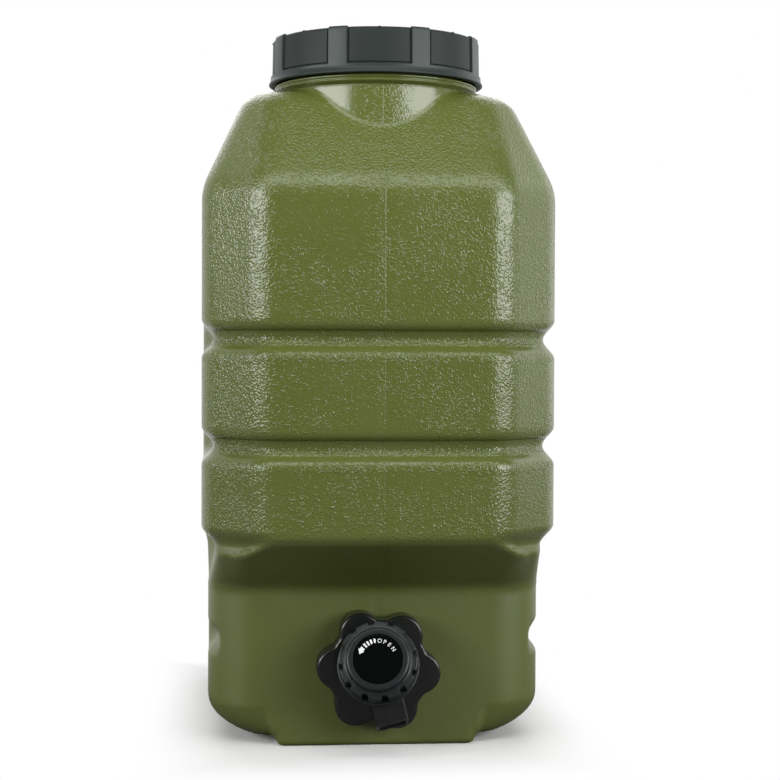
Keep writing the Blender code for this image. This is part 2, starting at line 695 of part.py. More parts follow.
def spout_prism(name, inset, place, drop):
    """The flat spout, from inside the barrel down to its slanting mouth."""
    half = SPOUT_WIDTH / 2 - inset
    back, front = SPOUT_START + inset, SPOUT_START + SPOUT_THICKNESS - inset
    corner = SPOUT_CORNER
    outline = [(-half + corner, back), (half - corner, back), (half, back + corner),
               (half, front - corner), (half - corner, front), (-half + corner, front),
               (-half, front - corner), (-half, back + corner)]
    top = [(x, -SPOUT_ROOT, z) for x, z in outline]
    mouth = [(x, -drop + (z - SPOUT_START) * math.tan(SPOUT_CUT), z) for x, z in outline]
    return lofted(name, [top, mouth], place)


def tap_body(material):
    place = tap_frame()
    barrel = barrel_frame()
    flange_top = FLANGE_Z + FLANGE_THICKNESS
    profile = [(0, ELBOW_LENGTH), (BARREL_RADIUS, ELBOW_LENGTH), (BARREL_RADIUS, flange_top),
               (FLANGE_RADIUS, flange_top), (FLANGE_RADIUS, FLANGE_Z), (0, FLANGE_Z)]
    body = turned("tap_body", profile, place, material, segments=32)
    barrel_solid = plug_cutter("barrel_solid", BARREL_RADIUS, BARREL_START, BARREL_LENGTH, barrel)
    combine(body, barrel_solid, "UNION")
    combine(body, spout_prism("spout_solid", 0, place, SPOUT_DROP), "UNION")
    ridge = thread_ridge("barrel_ridge", BARREL_RADIUS, KNOB_RIDGE, KNOB_PITCH, BARREL_RIDGE_Z,
                         KNOB_RIDGE_TURNS, barrel)
    combine(body, ridge, "UNION")
    combine(body, plug_cutter("inlet", INLET_BORE, -OVERCUT, INLET_DEPTH, place), "DIFFERENCE")
    seat_hole = plug_cutter("seat_hole", SEAT_BORE, SEAT_BORE_START, SEAT_AT + OVERCUT, barrel)
    combine(body, seat_hole, "DIFFERENCE")
    chamber = plug_cutter("chamber", CHAMBER_RADIUS, SEAT_AT, BARREL_LENGTH + OVERCUT, barrel)
    combine(body, chamber, "DIFFERENCE")
    spout_bore = spout_prism("spout_bore", SPOUT_WALL, place, SPOUT_DROP + 2 * OVERCUT)
    combine(body, spout_bore, "DIFFERENCE")
    return body


# Knob, disc and screw

def notched(radius, depth, z, count, width):
    """A ring with square notches all round."""
    points = []
    pitch = 2 * math.pi / count
    lip = 0.58
    for notch in range(count):
        middle = notch * pitch - KNOB_TURN
        for offset, inside in ((-lip, False), (-0.5, True), (0.5, True), (lip, False)):
            angle = middle + offset * width
            reach = radius - depth if inside else radius
            points.append((reach * math.sin(angle), reach * math.cos(angle), z))
        for share in (1 / 3, 2 / 3):
            angle = middle + lip * width + (pitch - 2 * lip * width) * share
            points.append((radius * math.sin(angle), radius * math.cos(angle), z))
    return points


def tap_knob(material):
    place = barrel_frame()

    def ring(radius, z, depth=0.0):
        return notched(radius, depth, z, KNOB_NOTCHES, KNOB_NOTCH_WIDTH)

    band_top = KNOB_BACK + KNOB_BAND
    ring_top = KNOB_FACE + RING_HEIGHT
    well = ring_top - DISC_WELL
    edge = KNOB_EDGE
    crown = KNOB_RADIUS - CROWN_STEP
    rings = [ring(KNOB_RADIUS - edge / 2, KNOB_BACK), ring(KNOB_RADIUS, KNOB_BACK + edge / 2),
             ring(KNOB_RADIUS, band_top - edge / 2), ring(crown, band_top, KNOB_NOTCH_DEPTH),
             ring(crown, KNOB_FACE - edge, KNOB_NOTCH_DEPTH),
             ring(crown - edge, KNOB_FACE, KNOB_NOTCH_DEPTH - edge),
             ring(RING_RADIUS, KNOB_FACE + edge / 4), ring(RING_RADIUS - edge / 2, ring_top - edge),
             ring(RING_RADIUS - 2 * edge, ring_top)]
    knob = lofted("tap_knob", rings, place, material)
    screw_bore = SCREW_RADIUS + GAP
    screw_low = KNOB_FACE - 2 * KNOB_WEB
    well_profile = [(0, ring_top + OVERCUT), (DISC_RADIUS + GAP, ring_top + OVERCUT),
                    (DISC_RADIUS + GAP, well), (SCREW_WELL_RADIUS, well), (SCREW_WELL_RADIUS, KNOB_FACE),
                    (screw_bore, KNOB_FACE), (screw_bore, screw_low), (0, screw_low)]
    combine(knob, turned("knob_well", well_profile, place, segments=32), "DIFFERENCE")
    socket = KNOB_FACE - KNOB_WEB
    socket_radius = STEM_NECK_RADIUS + GAP
    knob_low = KNOB_BACK - OVERCUT
    bore_profile = [(0, socket), (socket_radius, socket), (socket_radius, KNOB_INNER_FACE),
                    (KNOB_BORE, KNOB_INNER_FACE), (KNOB_BORE, knob_low), (0, knob_low)]
    combine(knob, turned("knob_bore", bore_profile, place, segments=32), "DIFFERENCE")
    ridge_z = BARREL_RIDGE_Z + KNOB_PITCH / 2
    ridge = thread_ridge("knob_ridge", KNOB_BORE, -KNOB_RIDGE, KNOB_PITCH, ridge_z, KNOB_RIDGE_TURNS,
                         place)
    combine(knob, ridge, "UNION")
    return knob


def knob_disc(material):
    low = KNOB_FACE + RING_HEIGHT - DISC_WELL + GAP
    high = low + DISC_THICKNESS
    profile = [(0, high), (DISC_RADIUS - DISC_EDGE, high), (DISC_RADIUS, high - DISC_EDGE),
               (DISC_RADIUS, low), (0, low)]
    return turned("knob_disc", profile, barrel_frame(), material)


def knob_screw(material):
    under = KNOB_FACE + GAP
    top = under + SCREW_HEAD
    tip = under - SCREW_LENGTH
    slot_depth = 0.6 * SCREW_HEAD
    profile = [(0, top), (0.8 * SCREW_HEAD_RADIUS, top), (SCREW_HEAD_RADIUS, top - SCREW_HEAD / 2),
               (SCREW_HEAD_RADIUS, under), (SCREW_RADIUS, under), (SCREW_RADIUS, tip), (0, tip)]
    screw = turned("knob_screw", profile, barrel_frame(), material, segments=24)
    half_long, half_wide = CROSS_LENGTH / 2, CROSS_WIDTH / 2
    outline = ((-half_long, -half_wide), (half_long, -half_wide), (half_long, half_wide),
               (-half_long, half_wide))
    for name, turn in (("cross_a", 0), ("cross_b", 90 * DEGREE)):
        rings = [[(x, y, z) for x, y in outline] for z in (top - slot_depth, top + OVERCUT)]
        slot = lofted(name, rings, barrel_frame() @ Matrix.Rotation(turn, 4, "Z"))
        combine(screw, slot, "DIFFERENCE")
    return screw


# Spindle, plug and O-rings

def ring_heights():
    middle = PISTON_START + PISTON_LENGTH / 2
    return middle - RING_SPACING / 2, middle + RING_SPACING / 2


def valve_stem(material):
    groove = CHAMBER_RADIUS - GAP - 2 * RING_SECTION - GAP
    half = RING_SECTION + GAP
    collar = PLUG_Z + PLUG_THICKNESS + GAP
    collar_top = collar + COLLAR_THICKNESS
    nose = collar - GAP - NOSE_LENGTH
    piston_end = PISTON_START + PISTON_LENGTH
    profile = [(0, STEM_END), (STEM_NECK_RADIUS, STEM_END), (STEM_NECK_RADIUS, piston_end),
               (PISTON_RADIUS, piston_end)]
    for middle in reversed(ring_heights()):
        profile += [(PISTON_RADIUS, middle + half), (groove, middle + half), (groove, middle - half),
                    (PISTON_RADIUS, middle - half)]
    profile += [(PISTON_RADIUS, PISTON_START), (SHANK_RADIUS, PISTON_START), (SHANK_RADIUS, collar_top),
                (COLLAR_RADIUS, collar_top), (COLLAR_RADIUS, collar), (NOSE_RADIUS, collar),
                (NOSE_RADIUS, nose), (0, nose)]
    place = barrel_frame()
    stem = turned("valve_stem", profile, place, material, segments=32)
    hole_low = KNOB_FACE + GAP - SCREW_LENGTH - SCREW_HOLE_SPARE
    screw_hole = plug_cutter("screw_hole", SCREW_RADIUS + GAP, hole_low, STEM_END + OVERCUT, place, 24)
    combine(stem, screw_hole, "DIFFERENCE")
    return stem


def valve_seal(material):
    top = PLUG_Z + PLUG_THICKNESS
    blind = top - NOSE_LENGTH - GAP
    profile = [(0, blind), (NOSE_RADIUS + GAP, blind), (NOSE_RADIUS + GAP, top), (PLUG_RADIUS, top),
               (PLUG_RADIUS, PLUG_Z + PLUG_EDGE), (PLUG_RADIUS - PLUG_EDGE, PLUG_Z), (0, PLUG_Z)]
    return turned("valve_seal", profile, barrel_frame(), material, segments=32)


def stem_o_ring(name, middle, material):
    centre = CHAMBER_RADIUS - GAP - RING_SECTION
    profile = []
    sides = 6
    for i in range(sides):
        angle = -2 * math.pi * i / sides
        profile.append((centre + RING_SECTION * math.cos(angle), middle + RING_SECTION * math.sin(angle)))
    return turned(name, profile, barrel_frame(), material, segments=24)


def main():
    clear_scene()
    olive = make_material("olive_plastic", (0.115, 0.145, 0.04), 0.42)
    charcoal = make_material("charcoal_plastic", (0.045, 0.052, 0.053), 0.5)
    black = make_material("black_plastic", (0.012, 0.013, 0.014), 0.45)
    grey = make_material("grey_plastic", (0.03, 0.036, 0.038), 0.5)
    gloss = make_material("gloss_plastic", (0.004, 0.005, 0.005), 0.12)
    rubber = make_material("black_rubber", (0.02, 0.02, 0.02), 0.75)
    white = make_material("white_plastic", (0.75, 0.75, 0.72), 0.4)
    steel = make_material("screw_steel", (0.6, 0.6, 0.6), 0.3, metallic=1.0)
    tank_body(olive)
    lid(charcoal)
    washer("lid_gasket", MOUTH_RADIUS, NECK_RADIUS + GASKET_OVERHANG, 0, GASKET_THICKNESS,
           upright_frame(NECK_DEPTH, LID_GASKET_Z), rubber)
    tap_nut(black)
    washer("tap_gasket", OUTLET_BORE, FLANGE_RADIUS, GAP, GAP + WASHER_THICKNESS, outlet_frame(), rubber)
    tap_body(black)
    tap_knob(grey)
    knob_disc(gloss)
    knob_screw(steel)
    valve_stem(white)
    valve_seal(rubber)
    rear, front = ring_heights()
    stem_o_ring("stem_o_ring_rear", rear, rubber)
    stem_o_ring("stem_o_ring_front", front, rubber)


main()
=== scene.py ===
"""Looks of the water carrier: moulded tank, ribbed screw lid and tap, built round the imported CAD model.

Metres, +Z up, standing on Z = 0, with the tap facing -Y. Depths are measured back from the front face.
Local frames of turned pieces have +Z along the piece's own axis, pointing out of the tank.
"""

from math import copysign, cos, exp, pi, radians, sin, sqrt, tan

import bmesh
import bpy
from mathutils import Matrix, Vector, noise
from mathutils.bvhtree import BVHTree


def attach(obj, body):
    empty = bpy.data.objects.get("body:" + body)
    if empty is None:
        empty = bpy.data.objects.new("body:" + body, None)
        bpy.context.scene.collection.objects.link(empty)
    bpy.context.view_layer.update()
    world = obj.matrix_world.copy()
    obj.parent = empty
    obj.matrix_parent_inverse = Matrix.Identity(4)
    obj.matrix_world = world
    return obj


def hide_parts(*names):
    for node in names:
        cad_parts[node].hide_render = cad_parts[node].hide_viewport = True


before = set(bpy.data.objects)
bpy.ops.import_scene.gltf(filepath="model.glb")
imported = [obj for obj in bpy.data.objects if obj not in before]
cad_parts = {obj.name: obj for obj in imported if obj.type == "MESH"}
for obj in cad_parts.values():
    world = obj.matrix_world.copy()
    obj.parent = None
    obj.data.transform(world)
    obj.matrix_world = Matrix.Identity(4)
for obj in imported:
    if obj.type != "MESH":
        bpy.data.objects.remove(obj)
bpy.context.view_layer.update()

MM = 0.001
DEGREE = radians(1)
GAP = 0.3 * MM
WHITE = (1, 1, 1, 1)
WORLD = Matrix.Identity(4)

# Camera and studio, with each softbox as (name, place, aim, size, power)
CAMERA_PLACE = (-0.0776, -1.0659, 0.2162)
CAMERA_TURN = (88.69, -0.228, -4.958)
CAMERA_LENS = 82.805
SENSOR_WIDTH = 36
SOFTBOXES = (("left_box", (-1.0, -0.64, 0.47), (0, -0.1, 0.2), (1.0, 0.42), 10.4),
        ("right_box", (0.86, -0.84, 0.42), (0, -0.1, 0.2), (0.95, 0.5), 10.6),
        ("key_box", (0, -0.40, 0.60), (0, -0.1, 0.40), (1.0, 0.2), 1.9),
        ("right_wall", (1.1, 0.3, 0.5), (0, 0, 0.3), (1.1, 0.9), 2.6),
        ("back_box", (0, 0.8, 0.95), (0, 0.1, 0.2), (1.2, 0.8), 6))
ROOM_LIGHT = 0.05
ROOM_BEHIND = (0.0, 0.5)
FLOOR_HALF_SIZE = 3
FLOOR_SQUARES = 8
FLOOR_BOUNCE = 0.2
FLOOR_ROUGHNESS = 0.9
FLOOR_GLOSS = 0.1
FLOOR_BEHIND = (0.0, 0.3)
SHADOW_REACH = (-0.02, 0.035)

# Surfaces: colour, roughness, grain size, grain depth, spread of the pigment, metallic, specular level
SURFACES = {"charcoal_lid": ((0.018, 0.0238, 0.022), 0.5, 0.5 * MM, 0.02 * MM, 0.08, 0.0, 0.2),
        "black_tap": ((0.0085, 0.0100, 0.0085), 0.24, 0.5 * MM, 0.01 * MM, 0.08, 0.0, 0.5),
        "grey_knob": ((0.0155, 0.0195, 0.0195), 0.32, 0.5 * MM, 0.01 * MM, 0.08, 0.0, 0.3),
        "gloss_disc": ((0.0014, 0.0024, 0.0020), 0.08, 2 * MM, 0.002 * MM, 0.08, 0.0, 0.35),
        "white_print": ((0.8, 0.8, 0.78), 0.35, 0.3 * MM, 0.004 * MM, 0.03, 0.0, 0.5),
        "white_spindle": ((0.75, 0.75, 0.72), 0.4, 0.6 * MM, 0.01 * MM, 0.04, 0.0, 0.5),
        "black_rubber": ((0.018, 0.018, 0.018), 0.72, 0.3 * MM, 0.02 * MM, 0.08, 0.0, 0.5),
        "screw_steel": ((0.58, 0.58, 0.57), 0.28, 0.4 * MM, 0.004 * MM, 0.05, 1.0, 0.5)}
LID_SURFACE = "charcoal_lid"

# Noises: (scale per metre, detail, roughness), and after them span's levels for those that make patches.
# The fine grain's scale goes by the grain's size.
PIGMENT_NOISE = (18, 3, 0.5)
HAZE_NOISE = (75, 4, 0.5)
SCUFFS = (260, 4, 0.7, 0.45, 0.65)
RIB_SCUFFS = (420, 4, 0.7, 0.56, 0.66)
OLIVE_NOISE = (11, 4, 0.5)
OLIVE_CLOUDS = (48, 3, 0.5, 0.5, 0.8)
OLIVE_HAZE = (60, 4, 0.5)
OLIVE_FINE = (1400, 2, 0.5)
GRAIN_PATCHES = (26, 2, 0.5, 0.35, 0.62, 0.5)
GRAIN_NOISE = (3, 0.6)
GRAIN_PER_SIZE = 2.2

# Wear: (pointiness where it starts, and where it is full, how much, how pale), and on the lid's ribs; the
# share of it on the lid's foot band is painted sheen
WEAR = (0.52, 0.6, 0.5, 1.9)
OLIVE_WEAR = (0.51, 0.56, 0.2, 1.5)
HAZE_SPREAD = 0.12
RIB_RUBBED = 0.75
RIB_SHADE = 1.95
RIB_POLISH = 0.2
# The lid's foot band gets this share of the ribs' paleness, which there is painted sheen, and of their polish
BAND_SHEEN = 0.5

# Skin of the tank, with low pebbles all over and steeper ones that glint
OLIVE = (0.097, 0.119, 0.024)
OLIVE_DUSTY = (0.105, 0.123, 0.031)
OLIVE_SPREAD = 0.08
SKIN_ROUGHNESS = 0.22
SKIN_HAZE_SPREAD = 0.1
SKIN_GLOSS = 0.65
SKIN_FINE_SHARE = 0.1
PEBBLE = 1.5 * MM
PEBBLE_DEPTH = 0.12 * MM
PEBBLE_BLEND = 0.3
PEBBLE_STRAY = 0.9
PEBBLE_STRAY_SCALE = 0.5
PEBBLE_FALL = 1.6
GLINT = 1.2 * MM
GLINT_DEPTH = 0.25 * MM
GLINT_BLEND = 0.1
GLINT_RARITY = 0.3
RECESS_GRAIN = 0.15
RECESS_HAZE = 0.22

# Grain in the front's grooves: (height above the middle, half height, how much more or less grain)
GROOVE_GRAIN = ((-1.6 * MM, 1.8 * MM, 1.6), (-5.6 * MM, 2.2 * MM, -0.9), (-9.5 * MM, 2.4 * MM, 1.0))
GRAIN_EASE = 0.7 * MM

# Tank outside
WIDTH = 190 * MM
DEPTH = 290 * MM
WALL = 3 * MM
DECK_Z = 354.5 * MM
SHOULDER_HEIGHT = 53 * MM
CREASE_EASE = 7 * MM
DECK_EDGE_RADIUS = 9 * MM
FRONT_CHAMFER = 31.5 * MM
BACK_CHAMFER = 20 * MM
CHAMFER_EDGE_RADIUS = 22 * MM
BACK_EDGE_RADIUS = 18 * MM
SHOULDER_SIDE_IN = 24.2 * MM
SHOULDER_FRONT_IN = 33 * MM
SHOULDER_BACK_IN = 20 * MM
SHOULDER_CHAMFER_IN = 29 * MM
GROOVE_HEIGHTS = (164.4 * MM, 221.4 * MM)
LEDGE_GROOVE_Z = 111.6 * MM
LOW_GROOVE_Z = 57 * MM
GROOVE_INSET = 6.2 * MM
LOW_GROOVE_INSET = 5 * MM
GROOVE_HALF_WIDTH = 10.5 * MM
SIDE_PANEL_FRONT = 105 * MM
SIDE_PANEL_BACK_IN = 90 * MM
GROOVE_FADE = 16 * MM
TAP_RECESS = 50 * MM
LEDGE_TOP_Z = 116 * MM
LEDGE_END_Z = 86.5 * MM
LEDGE_EASE = 3.5 * MM
LOWER_CORNER_RADIUS = 27 * MM
LOWER_SIDE_IN = 3.2 * MM
LOWER_SIDE_STEP = 9 * MM
LOWER_SIDE_TAPER = 1 * MM
BASE_HEIGHT = 26 * MM
BASE_SIDE_IN = 32 * MM
BASE_FRONT_IN = 7 * MM
BASE_BACK_IN = 24 * MM
BASE_FRONT_HEIGHT = 10 * MM
BASE_CURVE = 2.3

# Section of a groove: (height above its middle, share of its depth), with a crease under its roof
GROOVE_SHAPE = [(height * MM, share) for height, share in (
    (-11.5, 0), (-10, 0.015), (-8.5, 0.07), (-7, 0.2), (-6, 0.33), (-5, 0.49), (-4, 0.66), (-3, 0.8),
    (-2, 0.9), (-1, 0.97), (0, 1), (1.5, 0.97), (3, 0.88), (4, 0.78), (4.3, 0.72), (4.6, 0.53),
    (5.2, 0.34), (6, 0.2), (7, 0.1), (8.5, 0.03), (10.5, 0))]
SIDEWAYS = (1, 0)

# Pad under the tank, which stands proud of the rounded foot on either side
PAD_HALF_WIDTH = 54 * MM
PAD_FLARE = 4 * MM
PAD_HEIGHT = 22 * MM
PAD_EDGE = 2 * MM
PAD_STEP = 5 * MM
PAD_STEP_WIDTH = 4 * MM
FOOT_CLEARANCE = 5 * MM

# The mould's parting line: its rib, the dish it lies in, how it wanders and wavers, and its section
SEAM_WIDTH = 0.7 * MM
SEAM_HEIGHT = 0.22 * MM
SEAM_STEP = 0.75 * MM
SEAM_DISH = 4 * MM
SEAM_DISH_DEPTH = 1.3 * SEAM_HEIGHT
SEAM_DRIFT = 0.25 * MM
SEAM_DRIFT_SCALE = 40
SEAM_WAVER = (0.8, 0.4)
SEAM_WAVER_SCALE = 90
SEAM_SECTION = ((-1, -0.6), (-0.5, 0.55), (0, 1), (0.5, 0.55), (1, -0.6))

# Neck and lid
NECK_DEPTH = 72 * MM
BOSS_RADIUS = 52 * MM
BOSS_RISE = 2.3 * MM
BEAD_RADIUS = 55.5 * MM
BEAD_HEIGHT = 3 * MM
BEAD_FOOT = 1.5 * MM
NECK_RADIUS = 51 * MM
NECK_HEIGHT = 25.1 * MM
NECK_RIDGE = 2.9 * MM
NECK_RIDGE_START = 0.8
LID_PITCH = 8 * MM
LID_RIDGE_TURNS = 1.2
LID_RADIUS = 58.9 * MM
LID_HEIGHT = 24.6 * MM
LID_ROOF = 3 * MM
LID_ROOF_CORNER = 1 * MM
LID_MOUTH_BEVEL = 0.8 * MM
LID_BAND = 4.6 * MM
LID_BAND_STEP = 0.4 * MM
LID_FLANGE = 1 * MM
LID_RIBS = 8
LID_RIB_WIDTH = 10 * DEGREE
LID_RIB_FLANK = 0.5 * DEGREE
LID_RIB_START = 20 * DEGREE
LID_RIB_PROUD = 0.9 * MM
LID_RIB_TOP = 0.5 * MM
LID_LINE_WIDTH = 0.9 * MM
LID_LINE_CORE = 0.35
LID_LINE_DEPTH = 0.6 * MM
LID_NUB = 0.5 * MM
LID_NUB_DOWN = 1.6 * MM
LID_NUB_RISE = 1 * MM
LID_LEAN = 0.3 * MM
LID_TOP_ROUND = 1.5 * MM
LID_THREAD_CLEARANCE = 0.7 * MM
LID_PANEL_RADIUS = 47 * MM
LID_PANEL_DROP = 1 * MM
LID_PANEL_BEVEL = 0.8 * MM
GASKET_THICKNESS = 2 * MM

# Outside of the bead under the lid, from the top down: (out from its radius, up from its foot)
BEAD_SECTION = [(out * MM, up * MM) for out, up in ((0, 3), (0, 2.1), (-0.9, 1.6), (-0.9, 1.1), (-0.2, 0.6),
        (-0.5, 0))]

# Where the lid's mesh has points, as shares of a rib's half width, a line's width and a nub's size
LID_RIB_POINTS = (0, 0.5, 0.8, 0.93, 1)
LID_LINE_POINTS = (0, 0.25, 0.6, 1, 1.5)
LID_NUB_POINTS = (-2, -1.4, -0.7, 0.7, 1.4, 2)
LID_PANEL_STEPS = 12
LID_BAND_RINGS = (0.8, 0.95, 1.0)
LID_STEP_RINGS = [past * MM for past in (0.1, 0.2, 0.3, 0.4, 0.6, 0.8, 1.0, 1.3, 1.7)]
LID_WALL_START = 2 * MM
LID_WALL_STEPS = 12
LID_MIDDLE = 0.02 * LID_RADIUS

# The flange at the lid's foot, in shares of its size: (out from the band, up)
LID_FLANGE_SECTION = ((1, 0.7), (0.6, 1.4), (0.2, 2.4), (0, 3.4))

# Handle behind the lid
GRIP_START = 145 * MM
GRIP_BACK_IN = 47 * MM
GRIP_DROP = 43.5 * MM
GRIP_SLOPE = 5 * MM
GRIP_CORNER = 14 * MM
BAR_RISE = 19.5 * MM
BAR_THICKNESS = 29 * MM
BAR_WIDTH = 34 * MM
BAR_RADIUS = 12 * MM
BAR_HEIGHT_PER_RADIUS = 2.2
BAR_RAMP = 24 * MM
BAR_SUNK = 2 * MM

# Outlet and star nut
OUTLET_Z = 43.6 * MM
OUTLET_RADIUS = 21.4 * MM
OUTLET_LENGTH = 8.5 * MM
OUTLET_BORE = 12 * MM
OUTLET_RIDGE = 1.5 * MM
OUTLET_RIDGE_START = 0.6
OUTLET_EDGE = 0.4 * MM
NUT_PITCH = 4 * MM
NUT_RIDGE_TURNS = 1.1
NUT_CLEARANCE = 0.6 * MM
NUT_LENGTH = 15 * MM
NUT_WEB = 3 * MM
NUT_LOBES = 6
NUT_LOBE_RADIUS = 33.4 * MM
NUT_VALLEY_RADIUS = 27.3 * MM
NUT_LOBE_START = -4 * DEGREE
NUT_LOBE_ROUND = 11 * MM
NUT_LOBE_BLEND = 30
NUT_HOLE_RADIUS = 16.5 * MM
NUT_HOLE_BEVEL = 0.6 * MM
NUT_BEVEL = 1.6 * MM
NUT_FACE_RADIUS = NUT_VALLEY_RADIUS - 2.2 * NUT_BEVEL
NUT_STEPS = 288
WASHER_THICKNESS = 1.8 * MM

# Tap body
FLANGE_RADIUS = 20.5 * MM
FLANGE_THICKNESS = 2.5 * MM
TAP_TURN = 14 * DEGREE
BEND_AT = 6 * MM
BARREL_TILT = 22 * DEGREE
BARREL_RADIUS = 12.5 * MM
BARREL_LENGTH = 22.5 * MM
BARREL_START = 1.5 * MM
ELBOW_LENGTH = 12.6 * MM
INLET_BORE = 9.5 * MM
INLET_DEPTH = 6.5 * MM
SEAT_BORE = 6.5 * MM
SEAT_BORE_START = -3.5 * MM
SEAT_AT = 6.4 * MM
CHAMBER_RADIUS = 10.6 * MM
SPOUT_WIDTH = 17.6 * MM
SPOUT_START = 10.5 * MM
SPOUT_THICKNESS = 12 * MM
SPOUT_DROP = 31 * MM
SPOUT_ROOT = 6 * MM
SPOUT_WALL = 1.7 * MM
SPOUT_CORNER = 1.6 * MM
SPOUT_CUT = 25 * DEGREE
SPOUT_RIM = 0.5 * MM
SPOUT_RIM_ANGLE = 50 * DEGREE

# Knob, with a notch's side as (share of its width from its middle, share of its depth)
KNOB_PITCH = 4 * MM
KNOB_RIDGE = 1.2 * MM
KNOB_CLEARANCE = 0.5 * MM
KNOB_RIDGE_TURNS = 1
KNOB_RIDGE_BACK = 1.5
KNOB_RADIUS = 21.8 * MM
KNOB_BACK = 13.7 * MM
KNOB_FACE = 27.5 * MM
KNOB_BAND = 3.2 * MM
KNOB_EDGE = 0.9 * MM
CROWN_STEP = 0.9 * MM
CROWN_RISE = 0.05 * MM
KNOB_TURN = -4 * DEGREE
KNOB_NOTCHES = 12
KNOB_NOTCH_WIDTH = 9 * DEGREE
KNOB_NOTCH_DEPTH = 2.2 * MM
NOTCH_LAND_STEPS = 5
NOTCH_SIDE = ((0.66, 0), (0.58, 0.06), (0.53, 0.5), (0.5, 0.94), (0.42, 1))
RING_RADIUS = 16.9 * MM
RING_HEIGHT = 3.6 * MM
RING_FILLET = 0.8 * MM
DISC_RADIUS = 12.9 * MM
DISC_THICKNESS = 1 * MM
DISC_EDGE = 0.3 * MM
DISC_WELL = 1.6 * MM
KNOB_WEB = 1.5 * MM
KNOB_SOCKET = 1.5 * MM
STEM_NECK_RADIUS = 5 * MM
SCREW_RADIUS = 1.6 * MM
SCREW_HEAD_RADIUS = 4.2 * MM

# Side of the knob's front ring: its foot as (out, shares of KNOB_EDGE up), its brow as shares (in, down)
RING_FOOT = ((RING_FILLET, 0.2), (RING_FILLET / 4, 0.5), (0, 1.1))
RING_BROW = ((0.5, 1), (0.8, 0.4), (1.4, 0.08), (2, 0))

# Print on the disc: (character, degrees clockwise from the top), (degrees, size) of the bars, the arrow
PRINT_RADIUS = 9.7 * MM
LETTER_HEIGHT = 2.1 * MM
LETTER_WEIGHT = 0.012
LETTERS = (("O", 5.6), ("P", 22.3), ("E", 39), ("N", 57.6))
FONT_PER_LETTER = 1.42
BARS = ((-9.8, 0.95), (-21, 1.0), (-31.7, 1.04), (-42.7, 1.08))
BAR_LONG = 2.3 * MM
BAR_WIDE = 0.85 * MM
BAR_SPREAD = 1.25
ARROW = [(x * MM, y * MM) for x, y in ((-2.4, 0), (0, -1.6), (0.1, -1.1), (1.4, -1.2), (1.8, 1.1),
        (0.35, 1.15), (0.3, 1.9))]
ARROW_TURN = -61.7
PRINT_TURN = 14.3
PRINT_LIFT = 0.04 * MM

# Places worked out from the sizes
CREASE_Z = DECK_Z - SHOULDER_HEIGHT
SIDE_PANEL_BACK = DEPTH - SIDE_PANEL_BACK_IN
GRIP_END = DEPTH - GRIP_BACK_IN
GRIP_FLOOR_Z = DECK_Z - GRIP_DROP
BAR_TOP_Z = DECK_Z + BAR_RISE
BAR_BOTTOM_Z = BAR_TOP_Z - BAR_THICKNESS
RIM_Z = DECK_Z + NECK_HEIGHT
LID_BODY_RADIUS = LID_RADIUS - LID_FLANGE
LID_BOTTOM_Z = RIM_Z + 2 * GAP + GASKET_THICKNESS + LID_ROOF - LID_HEIGHT
MOUTH_RADIUS = BOSS_RADIUS - WALL
OUTLET_FACE = TAP_RECESS - OUTLET_LENGTH
FLANGE_Z = GAP + WASHER_THICKNESS + GAP
WEB_Z = FLANGE_Z + FLANGE_THICKNESS + GAP
NUT_BACK_Z = WEB_Z + NUT_WEB - NUT_LENGTH
NUT_BORE = OUTLET_RADIUS + OUTLET_RIDGE + NUT_CLEARANCE
KNOB_BORE = BARREL_RADIUS + KNOB_RIDGE + KNOB_CLEARANCE
KNOB_INNER_FACE = KNOB_FACE - KNOB_WEB - KNOB_SOCKET
RING_TOP = KNOB_FACE + RING_HEIGHT
DISC_TOP = RING_TOP - DISC_WELL + GAP + DISC_THICKNESS
BEAD_Z = DECK_Z + BOSS_RISE
SCREW_WELL_RADIUS = SCREW_HEAD_RADIUS + 2 * GAP
NECK_RIDGE_Z = BEAD_Z + BEAD_HEIGHT + NECK_RIDGE_START * LID_PITCH
OUTLET_RIDGE_Z = -OUTLET_LENGTH + OUTLET_RIDGE_START * NUT_PITCH
BARREL_RIDGE_Z = BARREL_LENGTH - KNOB_RIDGE_BACK * KNOB_PITCH
BOSS_FLANK = (0.02 * BOSS_RADIUS, 0.42 * BOSS_RADIUS)
BOSS_NEAR = (BOSS_RADIUS + 1.5 * MM, BOSS_RADIUS + 0.5 * MM)
BOSS_TOP = (BEAD_Z - 1 * MM, BEAD_Z + 1 * MM)
GRAIN_FRONT = (-0.3 * DEPTH, -0.38 * DEPTH)
RIB_FACE = (LID_BODY_RADIUS - 0.65 * LID_RIB_PROUD, LID_BODY_RADIUS - 0.4 * LID_RIB_PROUD)

# Sizes of the construction
OVERCUT = 1 * MM
SOFT_EDGE = 0.5 * MM
FINE_EDGE = 0.3 * MM
ROUND_SHARE = 0.3
LEG_SHARE = 0.45
RIDGE_SUNK = 0.6 * MM
RIDGE_BASE = 0.36
RIDGE_TIP = 0.16
RIDGE_RUN_OUT = 6
SAME_POINT = 0.001 * MM
SHARP_ANGLE = 30 * DEGREE
CRISP_ANGLE = 35 * DEGREE
LID_SHARP_ANGLE = 38 * DEGREE
SKIN_SHARP_ANGLE = 40 * DEGREE
NEVER_SHARP = 180 * DEGREE
CORNER_TURN = 22.5 * DEGREE
CORNER_SINE = sin(2 * CORNER_TURN)
LEG_PER_RADIUS = sqrt(2) * tan(CORNER_TURN)
TURN_STEPS = 96
NECK_STEPS = 180
CYLINDER_STEPS = 64
ARC_STEPS = 6
WIDE_ARC_STEPS = 8
BAR_RAMP_STEPS = 12
KNOB_ARC_STEPS = 4
RING_SPACING = 2 * MM
SKIN_VOXEL = 1.3 * MM
SKIN_SMOOTHING = 3
SKIN_SMOOTH_FACTOR = 0.5
LEAST_SIDEWAYS = 0.05


# Mesh helpers

def adjusted(target, **settings):
    for key, value in settings.items():
        setattr(target, key, value)
    return target


